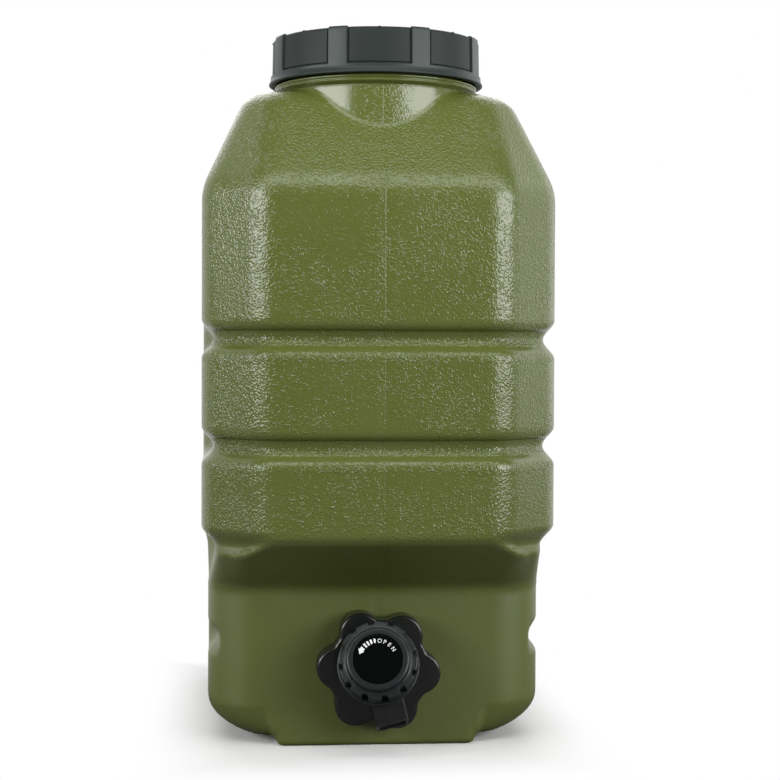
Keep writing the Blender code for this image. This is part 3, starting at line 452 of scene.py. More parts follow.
def modify(made, kind, **settings):
    adjusted(made.modifiers.new(kind, kind), **settings)


def smoothed(mesh, angle):
    """Shades a mesh smooth but for edges sharper than the angle."""
    mesh.shade_smooth()
    mesh.set_sharp_from_angle(angle=angle)


def linked(name, data):
    made = bpy.data.objects.new(name, data)
    bpy.context.scene.collection.objects.link(made)
    return made


def object_from(name, bm, place=WORLD, material=None, sharp=SHARP_ANGLE):
    bmesh.ops.recalc_face_normals(bm, faces=bm.faces)
    mesh = bpy.data.meshes.new(name)
    bm.to_mesh(mesh)
    bm.free()
    smoothed(mesh, sharp)
    if material:
        mesh.materials.append(material)
    made = linked(name, mesh)
    made.matrix_world = place
    return made


def turned(name, profile, place, material=None, steps=TURN_STEPS):
    """A turned solid. profile lists (radius, height) in order; a ring's profile closes on itself."""
    bm = bmesh.new()
    points = [bm.verts.new((radius, 0, height)) for radius, height in profile]
    edges = [bm.edges.new(pair) for pair in zip(points, points[1:])]
    if profile[0][0] > 0 or profile[-1][0] > 0:
        edges.append(bm.edges.new((points[-1], points[0])))
    bmesh.ops.spin(bm, geom=points + edges, cent=(0, 0, 0), axis=(0, 0, 1),
            angle=2 * pi, steps=steps, use_merge=True)
    bmesh.ops.remove_doubles(bm, verts=bm.verts, dist=SAME_POINT)
    return object_from(name, bm, place, material)


def lofted(name, rings, place=WORLD, material=None, closed=False, sharp=SHARP_ANGLE):
    """A skin over rings of equally many points, capped at both ends or closed on itself."""
    bm = bmesh.new()
    loops = [[bm.verts.new(point) for point in ring] for ring in rings]
    pairs = list(zip(loops, loops[1:]))
    if closed:
        pairs.append((loops[-1], loops[0]))
    for low, high in pairs:
        for i in range(len(low)):
            j = (i + 1) % len(low)
            bm.faces.new((low[i], low[j], high[j], high[i]))
    if not closed:
        bm.faces.new(loops[0])
        bm.faces.new(loops[-1])
    return object_from(name, bm, place, material, sharp)


def prism(name, outline, low, high, place=WORLD):
    return lofted(name, [[(x, y, z) for x, y in outline] for z in (low, high)], place)


def circles(around, profile):
    """A ring for each (radius, height), with a point in each of the directions around."""
    return [[(radius * x, radius * y, z) for x, y in around] for radius, z in profile]


def arc(centre, radius, start, turn, steps):
    """Points round an arc that starts at start degrees and turns by turn degrees."""
    angles = [(start + turn * i / steps) * DEGREE for i in range(steps + 1)]
    return [(centre[0] + radius * cos(angle), centre[1] + radius * sin(angle)) for angle in angles]


def round_over(radius, steps):
    """(inset, drop) at each step over a rounded edge, from the upright face to the top."""
    turns = [90 * i / steps * DEGREE for i in range(steps + 1)]
    return [(radius * (1 - cos(turn)), radius * (1 - sin(turn))) for turn in turns]


def rounded(corners, radius, steps=4):
    """A profile of (radius, height) corners with each inner corner rounded, as far as its legs allow."""
    points = [corners[0]]
    for before, corner, after in zip(corners, corners[1:], corners[2:]):
        here = Vector(corner)
        back = Vector(before) - here
        ahead = Vector(after) - here
        leg = min(radius, LEG_SHARE * back.length, LEG_SHARE * ahead.length)
        start = here + back.normalized() * leg
        end = here + ahead.normalized() * leg
        for i in range(steps + 1):
            t = i / steps
            points.append(tuple((1 - t) ** 2 * start + 2 * t * (1 - t) * here + t ** 2 * end))
    points.append(corners[-1])
    return points


def both_sides(right):
    """A right half's points, from middle to middle, and then their mirror images."""
    return right + [(-x, *rest) for x, *rest in reversed(right[1:-1])]


def applied(made):
    depsgraph = bpy.context.evaluated_depsgraph_get()
    mesh = bpy.data.meshes.new_from_object(made.evaluated_get(depsgraph))
    made.modifiers.clear()
    made.data = mesh


def combined(made, *steps):
    """Works each (operation, tools) step into the object's mesh and removes the tools."""
    for operation, tools in steps:
        for tool in tools:
            modify(made, "BOOLEAN", operation=operation, solver="EXACT", object=tool)
    applied(made)
    for _, tools in steps:
        for tool in tools:
            bpy.data.objects.remove(tool, do_unlink=True)


def joined(target, *others):
    bm = bmesh.new()
    bm.from_mesh(target.data)
    for other in others:
        mesh = other.data.copy()
        mesh.transform(target.matrix_world.inverted() @ other.matrix_world)
        bm.from_mesh(mesh)
        bpy.data.meshes.remove(mesh)
        bpy.data.objects.remove(other, do_unlink=True)
    bm.to_mesh(target.data)
    bm.free()
    smoothed(target.data, SHARP_ANGLE)
    return target


def cylinder(radius, low, high, place):
    corners = [(0, high), (radius, high), (radius, low), (0, low)]
    return turned("cylinder", corners, place, steps=CYLINDER_STEPS)


def thread_ridge(wall, height, pitch, start, turns, place):
    """A right-handed helical ridge on a wall's radius, inwards if height is below zero, with run-outs."""
    base, tip = RIDGE_BASE * pitch / 2, RIDGE_TIP * pitch / 2
    sunk = wall - copysign(RIDGE_SUNK, height)
    rings = []
    count = int(TURN_STEPS * turns)
    for i in range(count + 1):
        angle = 2 * pi * i / TURN_STEPS
        middle = start + pitch * i / TURN_STEPS
        crest = wall + height * min(1, (i + 0.5) / RIDGE_RUN_OUT, (count - i + 0.5) / RIDGE_RUN_OUT)
        across = Vector((cos(angle), sin(angle), 0))
        rings.append([across * radius + Vector((0, 0, middle + up))
                for radius, up in ((sunk, -base), (crest, -tip), (crest, tip), (sunk, base))])
    return lofted("ridge", rings, place)


def y_of(depth):
    return depth - DEPTH / 2


def upright_frame(depth, z=0.0):
    return Matrix.Translation((0, y_of(depth), z))


def outlet_frame():
    """Local Z points out of the tank along the nut's axis, local Y is up, from the outlet's face."""
    return upright_frame(OUTLET_FACE, OUTLET_Z) @ Matrix.Rotation(90 * DEGREE, 4, "X")


def tap_frame():
    return outlet_frame() @ Matrix.Rotation(TAP_TURN, 4, "Z")


def barrel_frame():
    """The axis of the knob and its spindle, from where it meets the nut's axis."""
    return tap_frame() @ Matrix.Translation((0, 0, BEND_AT)) @ Matrix.Rotation(-BARREL_TILT, 4, "X")


# Material helpers

def add(tree, kind, settings=None, inputs=None):
    """A shader node with its settings and inputs, where a socket among the inputs is linked."""
    node = adjusted(tree.nodes.new(kind), **(settings or {}))
    for key, value in (inputs or {}).items():
        socket = node.inputs[key]
        if isinstance(value, bpy.types.NodeSocket):
            tree.links.new(value, socket)
        else:
            socket.default_value = value
    return node


def maths(tree, operation, *values):
    return add(tree, "ShaderNodeMath", {"operation": operation}, dict(enumerate(values))).outputs[0]


def times(tree, product, *others):
    for value in others:
        product = maths(tree, "MULTIPLY", product, value)
    return product


def scaled(tree, value, factor, offset):
    return maths(tree, "MULTIPLY_ADD", value, factor, offset)


def vector_maths(tree, operation, *values):
    return add(tree, "ShaderNodeVectorMath", {"operation": operation}, dict(enumerate(values))).outputs


def parts_of(tree, vector):
    return add(tree, "ShaderNodeSeparateXYZ", None, {0: vector}).outputs


def radius_of(tree, place):
    return vector_maths(tree, "LENGTH", vector_maths(tree, "MULTIPLY", place, (1, 1, 0))[0])["Value"]


def colour_mix(tree, factor, first, second):
    return add(tree, "ShaderNodeMix", {"data_type": "RGBA"}, {0: factor, 6: first, 7: second}).outputs[2]


def span(tree, value, low, high, to_low=0.0, to_high=1.0):
    """value from low..high moved to to_low..to_high, clamped and eased."""
    node = add(tree, "ShaderNodeMapRange", {"interpolation_type": "SMOOTHSTEP"},
            {"Value": value, "From Min": low, "From Max": high, "To Min": to_low, "To Max": to_high})
    return node.outputs[0]


def noise_of(tree, place, scale, detail, roughness):
    node = add(tree, "ShaderNodeTexNoise", None,
            {"Vector": place, "Scale": scale, "Detail": detail, "Roughness": roughness})
    return node.outputs["Fac"]


def patches(tree, place, scale, detail, roughness, *levels):
    """A noise in soft patches, its levels moved as span moves them."""
    return span(tree, noise_of(tree, place, scale, detail, roughness), *levels)


def shade(colour, factor):
    return (*(channel * factor for channel in colour), 1)


def mottled(tree, place, pattern, colour, spread):
    """The colour, a little darker and paler by a noise."""
    darker, paler = shade(colour, 1 - spread), shade(colour, 1 + spread)
    return colour_mix(tree, noise_of(tree, place, *pattern), darker, paler)


def uneven(tree, place, pattern, roughness, spread):
    return scaled(tree, noise_of(tree, place, *pattern), spread, roughness - spread / 2)


def worn(tree, surface, colour, where, low, high, amount, paleness):
    """The surface with a paler shade of its colour on the sharp outer edges, as far as where lets it."""
    edge = span(tree, add(tree, "ShaderNodeNewGeometry").outputs["Pointiness"], low, high)
    return colour_mix(tree, times(tree, edge, where, amount), surface, shade(colour, paleness))


def place_in(tree):
    return add(tree, "ShaderNodeTexCoord").outputs["Object"]


def new_material(name):
    material = bpy.data.materials.new(name)
    material.use_nodes = True
    return material, material.node_tree, material.node_tree.nodes["Principled BSDF"].inputs


def finish(tree, colour, roughness, grain, grain_depth, specular):
    bump = add(tree, "ShaderNodeBump", None, {"Strength": 1.0, "Distance": grain_depth, "Height": grain})
    inputs = tree.nodes["Principled BSDF"].inputs
    for name, value in (("Base Color", colour), ("Roughness", roughness), ("Normal", bump.outputs[0])):
        tree.links.new(value, inputs[name])
    inputs["Specular IOR Level"].default_value = specular


def plastic(name):
    """Moulded plastic: uneven pigment, paler worn edges, fine grain and a roughness that varies."""
    colour, roughness, grain_size, grain_depth, spread, metallic, specular = SURFACES[name]
    material, tree, inputs = new_material(name)
    place = place_in(tree)
    pigment = mottled(tree, place, PIGMENT_NOISE, colour, spread)
    surface = worn(tree, pigment, colour, patches(tree, place, *SCUFFS), *WEAR)
    rough = uneven(tree, place, HAZE_NOISE, roughness, HAZE_SPREAD)
    grain = noise_of(tree, place, GRAIN_PER_SIZE / grain_size, *GRAIN_NOISE)
    finish(tree, surface, rough, grain, grain_depth, specular)
    inputs["Metallic"].default_value = metallic
    return material


def lid_plastic():
    """Charcoal plastic of the lid, matt in the panels and paler and glossier with rubbing on the ribs, and
    half so on the band at its foot, where the paler colour is painted sheen.
    """
    material = plastic(LID_SURFACE)
    tree = material.node_tree
    inputs = tree.nodes["Principled BSDF"].inputs
    place = place_in(tree)
    proud = span(tree, radius_of(tree, place), *RIB_FACE)
    # The band at the lid's foot gets half the ribs' paleness, as painted sheen, and half their polish
    above_band = span(tree, parts_of(tree, place)["Z"], LID_BAND / 2, LID_BAND, BAND_SHEEN)
    on_rib = times(tree, proud, above_band)
    rubbed_and_sheen = times(tree, on_rib, scaled(tree, patches(tree, place, *RIB_SCUFFS), 1 - RIB_RUBBED, RIB_RUBBED))
    plain = inputs["Base Color"].links[0].from_socket
    paler = shade(SURFACES[LID_SURFACE][0], RIB_SHADE)
    tree.links.new(colour_mix(tree, rubbed_and_sheen, plain, paler), inputs["Base Color"])
    matt = inputs["Roughness"].links[0].from_socket
    tree.links.new(scaled(tree, on_rib, -RIB_POLISH, matt), inputs["Roughness"])
    return material


def pebbles(tree, place, size, smoothness):
    """Round moulded pebbles as a height from 0 to 1, and a random number for each."""
    stray = add(tree, "ShaderNodeTexNoise", None,
            {"Vector": place, "Scale": PEBBLE_STRAY_SCALE / size, "Detail": 1.0}).outputs["Color"]
    moved = vector_maths(tree, "MULTIPLY", stray, (PEBBLE_STRAY * size,) * 3)[0]
    cells = add(tree, "ShaderNodeTexVoronoi", {"feature": "SMOOTH_F1"},
            {"Vector": vector_maths(tree, "ADD", place, moved)[0], "Scale": 1 / size,
            "Smoothness": smoothness, "Randomness": 1.0}).outputs
    from_middle = maths(tree, "MINIMUM", times(tree, cells["Distance"], PEBBLE_FALL), 1.0)
    dome = maths(tree, "SUBTRACT", 1.0, times(tree, from_middle, from_middle))
    return dome, parts_of(tree, cells["Color"])["X"]


def off_boss(tree, place):
    """1 away from the smooth neck and the smooth flanks of the boss under it, 0 on them."""
    radius = radius_of(tree, vector_maths(tree, "SUBTRACT", place, (0, y_of(NECK_DEPTH), 0))[0])
    parts = parts_of(tree, place)
    flank = span(tree, maths(tree, "ABSOLUTE", parts["X"]), *BOSS_FLANK)
    top = span(tree, parts["Z"], *BOSS_TOP)
    near = times(tree, span(tree, radius, *BOSS_NEAR), span(tree, parts["Z"], CREASE_Z, DECK_Z))
    return maths(tree, "SUBTRACT", 1.0, times(tree, maths(tree, "MAXIMUM", flank, top), near))


def groove_grain(tree, place):
    """1 on plain skin, and more or less than 1 in bands across each groove of the front."""
    parts = parts_of(tree, place)
    on_front = span(tree, parts["Y"], *GRAIN_FRONT)
    grain = 1.0
    for middle in GROOVE_HEIGHTS:
        for offset, half, change in GROOVE_GRAIN:
            distance = maths(tree, "ABSOLUTE", maths(tree, "SUBTRACT", parts["Z"], middle + offset))
            within = span(tree, distance, half + GRAIN_EASE, half - GRAIN_EASE)
            grain = scaled(tree, times(tree, within, on_front), change, grain)
    return grain


def olive_plastic():
    """Tank skin: pebbled satin polyethylene, smoother in patches, on the boss and in the tap's recess."""
    material, tree, _ = new_material("olive_tank")
    place = place_in(tree)
    above_recess = span(tree, parts_of(tree, place)["Z"], LEDGE_TOP_Z - LEDGE_EASE, LEDGE_TOP_Z + LEDGE_EASE)
    grainy = times(tree, patches(tree, place, *GRAIN_PATCHES), off_boss(tree, place),
            scaled(tree, above_recess, 1 - RECESS_GRAIN, RECESS_GRAIN))
    low_dome, _ = pebbles(tree, place, PEBBLE, PEBBLE_BLEND)
    steep_dome, chance = pebbles(tree, place, GLINT, GLINT_BLEND)
    glints = times(tree, steep_dome, span(tree, chance, GLINT_RARITY, 1.0))
    domes = scaled(tree, glints, GLINT_DEPTH / PEBBLE_DEPTH, low_dome)
    relief = times(tree, grainy, groove_grain(tree, place), domes)
    grain = scaled(tree, noise_of(tree, place, *OLIVE_FINE), SKIN_FINE_SHARE, relief)
    pigment = mottled(tree, place, OLIVE_NOISE, OLIVE, OLIVE_SPREAD)
    cloudy = colour_mix(tree, patches(tree, place, *OLIVE_CLOUDS), pigment, (*OLIVE_DUSTY, 1))
    surface = worn(tree, cloudy, OLIVE, 1.0, *OLIVE_WEAR)
    hazy = maths(tree, "ADD", uneven(tree, place, OLIVE_HAZE, SKIN_ROUGHNESS, SKIN_HAZE_SPREAD), RECESS_HAZE)
    finish(tree, surface, scaled(tree, above_recess, -RECESS_HAZE, hazy), grain, PEBBLE_DEPTH, SKIN_GLOSS)
    return material


# Shape of the tank at each height

def eased(share):
    """The share kept between 0 and 1, with a soft start and end."""
    share = min(max(share, 0), 1)
    return share * share * (3 - 2 * share)


def fade(value, start, length):
    """1 up to start, falling to 0 over length."""
    return 1 - eased((value - start) / length)


def soft_rise(past, ease):
    """0 before zero and rising one for one after it, with the corner eased."""
    if past <= -ease:
        return 0.0
    if past >= ease:
        return past
    return (past + ease) ** 2 / (4 * ease)


def ramp(z, low, high, ease):
    return (soft_rise(z - low, ease) - soft_rise(z - high, ease)) / (high - low)


def shoulder_in(z, amount):
    lean = amount * soft_rise(z - CREASE_Z, CREASE_EASE) / (DECK_Z - CREASE_Z)
    into_edge = min(max(z - DECK_Z + DECK_EDGE_RADIUS, 0), DECK_EDGE_RADIUS)
    return lean + DECK_EDGE_RADIUS - sqrt(DECK_EDGE_RADIUS ** 2 - into_edge ** 2)


def base_in(z, amount, height):
    return amount * max(1 - max(z, 0) / height, 0) ** BASE_CURVE


def recess_share(z):
    return 1 - ramp(z, LEDGE_END_Z, LEDGE_TOP_Z, LEDGE_EASE)


def side_at(z):
    ledge_in = LOWER_SIDE_IN - LOWER_SIDE_TAPER
    lower = (ledge_in * (1 - ramp(z, LEDGE_TOP_Z - LOWER_SIDE_STEP, LEDGE_TOP_Z, LOWER_SIDE_STEP / 3))
            + LOWER_SIDE_TAPER * recess_share(z))
    return (WIDTH / 2 - shoulder_in(z, SHOULDER_SIDE_IN) - lower
            - base_in(z, BASE_SIDE_IN - LOWER_SIDE_IN, BASE_HEIGHT))


def front_at(z):
    return (shoulder_in(z, SHOULDER_FRONT_IN) + TAP_RECESS * recess_share(z)
            + base_in(z, BASE_FRONT_IN, BASE_FRONT_HEIGHT))


def back_at(z):
    return DEPTH - shoulder_in(z, SHOULDER_BACK_IN) - base_in(z, BASE_BACK_IN, BASE_HEIGHT)


def creased(offset):
    """Share of a groove's depth at a height above its middle, on the front and the chamfers."""
    for (low, share), (high, next_share) in zip(GROOVE_SHAPE, GROOVE_SHAPE[1:]):
        if low <= offset <= high:
            return share + (next_share - share) * (offset - low) / (high - low)
    return 0.0


def groove_profile(normal, z, middle):
    """Share of a groove's depth, which is rounder where the skin faces sideways."""
    across = (z - middle) / GROOVE_HALF_WIDTH
    soft = (1 + cos(pi * across)) / 2 if abs(across) < 1 else 0.0
    crisp = fade(abs(normal[0]), CORNER_SINE, 1 - CORNER_SINE)
    return soft + (creased(z - middle) - soft) * crisp


def ledge_groove(z):
    """The groove level with the ledge, which runs out slowly downwards beside it."""
    if z > LEDGE_GROOVE_Z:
        return groove_profile(SIDEWAYS, z, LEDGE_GROOVE_Z)
    return max(z - LEDGE_END_Z, 0) / (LEDGE_GROOVE_Z - LEDGE_END_Z)


def groove_in(normal, depth, z):
    """How deep a groove is at a point of the skin, by the direction in plan that the skin faces there."""
    beside_panel = max(fade(depth, SIDE_PANEL_FRONT - GROOVE_FADE, GROOVE_FADE),
            fade(-depth, -SIDE_PANEL_BACK - GROOVE_FADE, GROOVE_FADE))
    if beside_panel == 0:
        return 0.0
    round_tank = sum(groove_profile(normal, z, middle) for middle in GROOVE_HEIGHTS)
    off_front = 1 if normal[1] > 0 else 1 - fade(abs(normal[0]), 0, CORNER_SINE)
    beside = 1 if normal[1] > 0 else 1 - fade(abs(normal[0]), CORNER_SINE, 1 - CORNER_SINE)
    low = beside * LOW_GROOVE_INSET * groove_profile(SIDEWAYS, z, LOW_GROOVE_Z)
    return beside_panel * (GROOVE_INSET * (round_tank + off_front * ledge_groove(z)) + low)


def corner_arc(corner, start, radius):
    """Points round a 45 degree corner whose first face has its normal at start degrees."""
    middle = start * DEGREE + CORNER_TURN
    reach = radius / cos(CORNER_TURN)
    centre = (corner[0] - reach * cos(middle), corner[1] - reach * sin(middle))
    return arc(centre, radius, start, 45, ARC_STEPS)


def tank_ring(z):
    """The outline at a height, from the middle of the front round by the right."""
    half, front, back = side_at(z), front_at(z), back_at(z)
    chamfer = WIDTH / 2 - FRONT_CHAMFER - sqrt(2) * shoulder_in(z, SHOULDER_CHAMFER_IN)
    radius = CHAMFER_EDGE_RADIUS + (LOWER_CORNER_RADIUS - CHAMFER_EDGE_RADIUS) * recess_share(z)
    leg = max(half - front - chamfer, radius * LEG_PER_RADIUS)
    back_leg = max(BACK_CHAMFER, BACK_EDGE_RADIUS * LEG_PER_RADIUS)
    corners = (((half - leg, front), radius), ((half, front + leg), radius),
            ((half, back - back_leg), BACK_EDGE_RADIUS), ((half - back_leg, back), BACK_EDGE_RADIUS))
    points = [(0, front)]
    for i, (corner, corner_radius) in enumerate(corners):
        points += corner_arc(corner, 45 * i - 90, corner_radius)
    points.append((0, back))
    return both_sides([(x, y_of(depth), z) for x, depth in points])


def grip_cutter():
    """The space that the fingers reach through, with rounded lower corners."""
    top = BAR_TOP_Z + OVERCUT
    spread = GRIP_SLOPE * (top - GRIP_FLOOR_Z) / (DECK_Z - GRIP_FLOOR_Z)
    front, back = GRIP_START + GRIP_SLOPE, GRIP_END - GRIP_SLOPE
    corners = [(front - spread, top), (front, GRIP_FLOOR_Z), (back, GRIP_FLOOR_Z), (back + spread, top)]
    outline = rounded(corners, GRIP_CORNER, WIDE_ARC_STEPS)
    return lofted("grip", [[(x, y_of(depth), z) for depth, z in outline] for x in (-WIDTH, WIDTH)])


def bar_section(depth, top):
    radius = min(BAR_RADIUS, (top - BAR_BOTTOM_Z) / BAR_HEIGHT_PER_RADIUS)
    across, high, low = BAR_WIDTH / 2 - radius, top - radius, BAR_BOTTOM_Z + radius
    ring = []
    for quarter, centre in enumerate(((across, high), (-across, high), (-across, low), (across, low))):
        ring += arc(centre, radius, 90 * quarter, 90, WIDE_ARC_STEPS)
    return [(x, y_of(depth), z) for x, z in ring]


def handle_bar():
    """The bar over the grip, which ramps up from the deck behind the lid and down to the back."""
    front, back = GRIP_START - BAR_RAMP / 2, GRIP_END + BAR_RAMP / 2
    shares = [i / BAR_RAMP_STEPS for i in range(BAR_RAMP_STEPS + 1)]
    places = [(front + BAR_RAMP * share, share) for share in shares]
    places += [(back - BAR_RAMP * share, share) for share in reversed(shares)]
    foot = DECK_Z - BAR_SUNK
    rise = BAR_TOP_Z - foot
    return lofted("bar", [bar_section(depth, foot + rise * eased(share)) for depth, share in places])


def pad_half_width(z):
    return PAD_HALF_WIDTH + PAD_FLARE * z / PAD_HEIGHT


def foot_pad():
    """The straight-sided pad along the underside that carries the tank."""
    front, back = TAP_RECESS, DEPTH - BASE_BACK_IN - PAD_HEIGHT / 2
    bevel = ROUND_SHARE * PAD_EDGE
    rings = []
    for z, inset in ((0, PAD_EDGE), (bevel, bevel), (PAD_EDGE, 0), (PAD_HEIGHT, 0)):
        half = pad_half_width(z) - inset
        corners = [(0, front + inset), (half, front + inset), (half, back - inset), (0, back - inset)]
        rings.append(both_sides([(x, y_of(depth), z) for x, depth in rounded(corners, 2 * PAD_EDGE)]))
    return lofted("pad", rings)


def foot_relief(side):
    """What is cut away under the rounded foot on one side, so that only the pad touches the ground."""
    near, far = sorted((side * PAD_HALF_WIDTH, side * WIDTH))
    outline = ((near, -DEPTH), (far, -DEPTH), (far, DEPTH), (near, DEPTH))
    return prism("relief", outline, -OVERCUT, FOOT_CLEARANCE)


def pad_step(normal, x, z):
    """How far the foot stands back beside the pad, on the front."""
    beside = 1 - fade(abs(x), pad_half_width(z), PAD_STEP_WIDTH)
    return PAD_STEP * beside * max(-normal[1], 0) * max(1 - z / PAD_HEIGHT, 0)


def shape_skin(tank):
    """Presses the grooves, the step beside the pad and the dish round the seam into the soft skin."""
    bm = bmesh.new()
    bm.from_mesh(tank.data)
    reach = GROOVE_HALF_WIDTH + 2 * SKIN_VOXEL
    for middle in (LOW_GROOVE_Z, LEDGE_GROOVE_Z, *GROOVE_HEIGHTS):
        faces = [face for face in bm.faces if abs(face.verts[0].co.z - middle) < reach]
        edges = {edge for face in faces for edge in face.edges}
        points = {point for face in faces for point in face.verts}
        near = faces + list(edges) + list(points)
        for offset, _ in GROOVE_SHAPE:
            cut = bmesh.ops.bisect_plane(bm, geom=near, dist=SAME_POINT, plane_co=(0, 0, middle + offset),
                    plane_no=(0, 0, 1))
            near = cut["geom"]
    bm.normal_update()
    for point in bm.verts:
        x, y, z = point.co
        normal = Vector((point.normal.x, point.normal.y, 0))
        if z > CREASE_Z or normal.length < LEAST_SIDEWAYS:
            continue
        normal.normalize()
        inset = groove_in(normal, y + DEPTH / 2, z) + SEAM_DISH_DEPTH * max(1 - abs(x) / SEAM_DISH, 0)
        if z < PAD_HEIGHT:
            inset += pad_step(normal, x, z)
        point.co = point.co - inset * normal
    bmesh.ops.recalc_face_normals(bm, faces=bm.faces)
    bm.to_mesh(tank.data)
    bm.free()
    smoothed(tank.data, SKIN_SHARP_ANGLE)


def tank_shell(material):
    """The moulded tank as one soft-edged skin."""
    count = round(DECK_Z / RING_SPACING)
    tank = lofted("tank_shell", [tank_ring(DECK_Z * i / count) for i in range(count + 1)])
    boss = rounded([(0, BEAD_Z), (BOSS_RADIUS, BEAD_Z), (BOSS_RADIUS, CREASE_Z), (0, CREASE_Z)], SOFT_EDGE)
    cuts = (foot_relief(-1), foot_relief(1), grip_cutter())
    additions = (handle_bar(), foot_pad(), turned("boss", boss, upright_frame(NECK_DEPTH)))
    combined(tank, ("DIFFERENCE", cuts), ("UNION", additions))
    modify(tank, "REMESH", mode="VOXEL", voxel_size=SKIN_VOXEL, use_smooth_shade=True)
    modify(tank, "SMOOTH", factor=SKIN_SMOOTH_FACTOR, iterations=SKIN_SMOOTHING)
    applied(tank)
    shape_skin(tank)
    tank.data.materials.append(material)
    return tank


def seam_line(name, skin, toward, material):
    """The mould's parting line, a fine raised rib down the middle of the front or the back."""
    tree = BVHTree.FromPolygons([v.co for v in skin.data.vertices], [p.vertices for p in skin.data.polygons])
    rings = []
    for i in range(int((BEAD_Z - 2 * SEAM_WIDTH - FOOT_CLEARANCE) / SEAM_STEP) + 1):
        z = FOOT_CLEARANCE + SEAM_STEP * i
        drift = SEAM_DRIFT * noise.noise((0, 0, SEAM_DRIFT_SCALE * z))
        hit, normal, _, _ = tree.ray_cast(Vector((drift, -toward, z)), Vector((0, toward, 0)))
        if hit is None:
            continue
        height = SEAM_HEIGHT * (SEAM_WAVER[0] + SEAM_WAVER[1] * noise.noise((3, 0, SEAM_WAVER_SCALE * z)))
        rings.append([hit + normal * height * up + Vector((SEAM_WIDTH / 2 * across, 0, 0))
                for across, up in SEAM_SECTION])
    return lofted(name, rings, WORLD, material, sharp=NEVER_SHARP)


def tank_neck(material):
    """Bead under the lid and the threaded neck."""
    foot = BEAD_Z - BEAD_FOOT
    corners = [(NECK_RADIUS - WALL, RIM_Z), (NECK_RADIUS, RIM_Z), (NECK_RADIUS, BEAD_Z + BEAD_HEIGHT)]
    corners += [(BEAD_RADIUS + out, BEAD_Z + up) for out, up in BEAD_SECTION]
    corners += [(BOSS_RADIUS - SOFT_EDGE, foot), (MOUTH_RADIUS, foot), (MOUTH_RADIUS, RIM_Z - SOFT_EDGE)]
    place = upright_frame(NECK_DEPTH)
    return joined(turned("tank_neck", rounded(corners, SOFT_EDGE), place, material, NECK_STEPS),
            thread_ridge(NECK_RADIUS, NECK_RIDGE, LID_PITCH, NECK_RIDGE_Z, LID_RIDGE_TURNS, place))


def tank_outlet(material):
    place = outlet_frame()
    low = -OUTLET_LENGTH - WALL
    corners = [(OUTLET_BORE, low), (OUTLET_RADIUS, low), (OUTLET_RADIUS, 0), (OUTLET_BORE, 0),
            (OUTLET_BORE, low + WALL)]
    return joined(turned("tank_outlet", rounded(corners, OUTLET_EDGE), place, material),
            thread_ridge(OUTLET_RADIUS, OUTLET_RIDGE, NUT_PITCH, OUTLET_RIDGE_Z, NUT_RIDGE_TURNS, place))


# Lid

def lid_offsets():
    """Angles from a rib's middle to the next rib's, closer together where the shape changes."""
    half = LID_RIB_WIDTH / 2
    pitch = 2 * pi / LID_RIBS
    near = [half * share for share in LID_RIB_POINTS]
    near += [half + LID_RIB_FLANK + LID_LINE_WIDTH / LID_RADIUS * share for share in LID_LINE_POINTS]
    room = pitch - 2 * near[-1]
    middle = [near[-1] + room * i / LID_PANEL_STEPS for i in range(1, LID_PANEL_STEPS)]
    middle += [pitch / 2 + LID_NUB / LID_RADIUS * share for share in LID_NUB_POINTS]
    return sorted(near + middle + [pitch - angle for angle in near[1:]])


def lid_inset(offset, height):
    """How far the lid's wall lies behind the ribs at an angle from the nearest rib and a height."""
    past_rib = abs(offset) - LID_RIB_WIDTH / 2
    past_band = height - LID_BAND
    edge = min((past_rib - LID_RIB_FLANK) * LID_BODY_RADIUS, past_band - LID_BAND_STEP)
    core = LID_LINE_CORE * LID_LINE_WIDTH
    line = fade(edge, core, LID_LINE_WIDTH - core) if edge >= 0 else 0
    to_nub = (pi / LID_RIBS - abs(offset)) * LID_BODY_RADIUS / LID_NUB
    nub = LID_NUB * exp(-to_nub ** 2) * eased((height - LID_HEIGHT + LID_NUB_DOWN) / LID_NUB_RISE)
    share = eased(past_rib / LID_RIB_FLANK) * eased(past_band / LID_BAND_STEP)
    return share * (LID_RIB_PROUD + LID_LINE_DEPTH * line - nub)


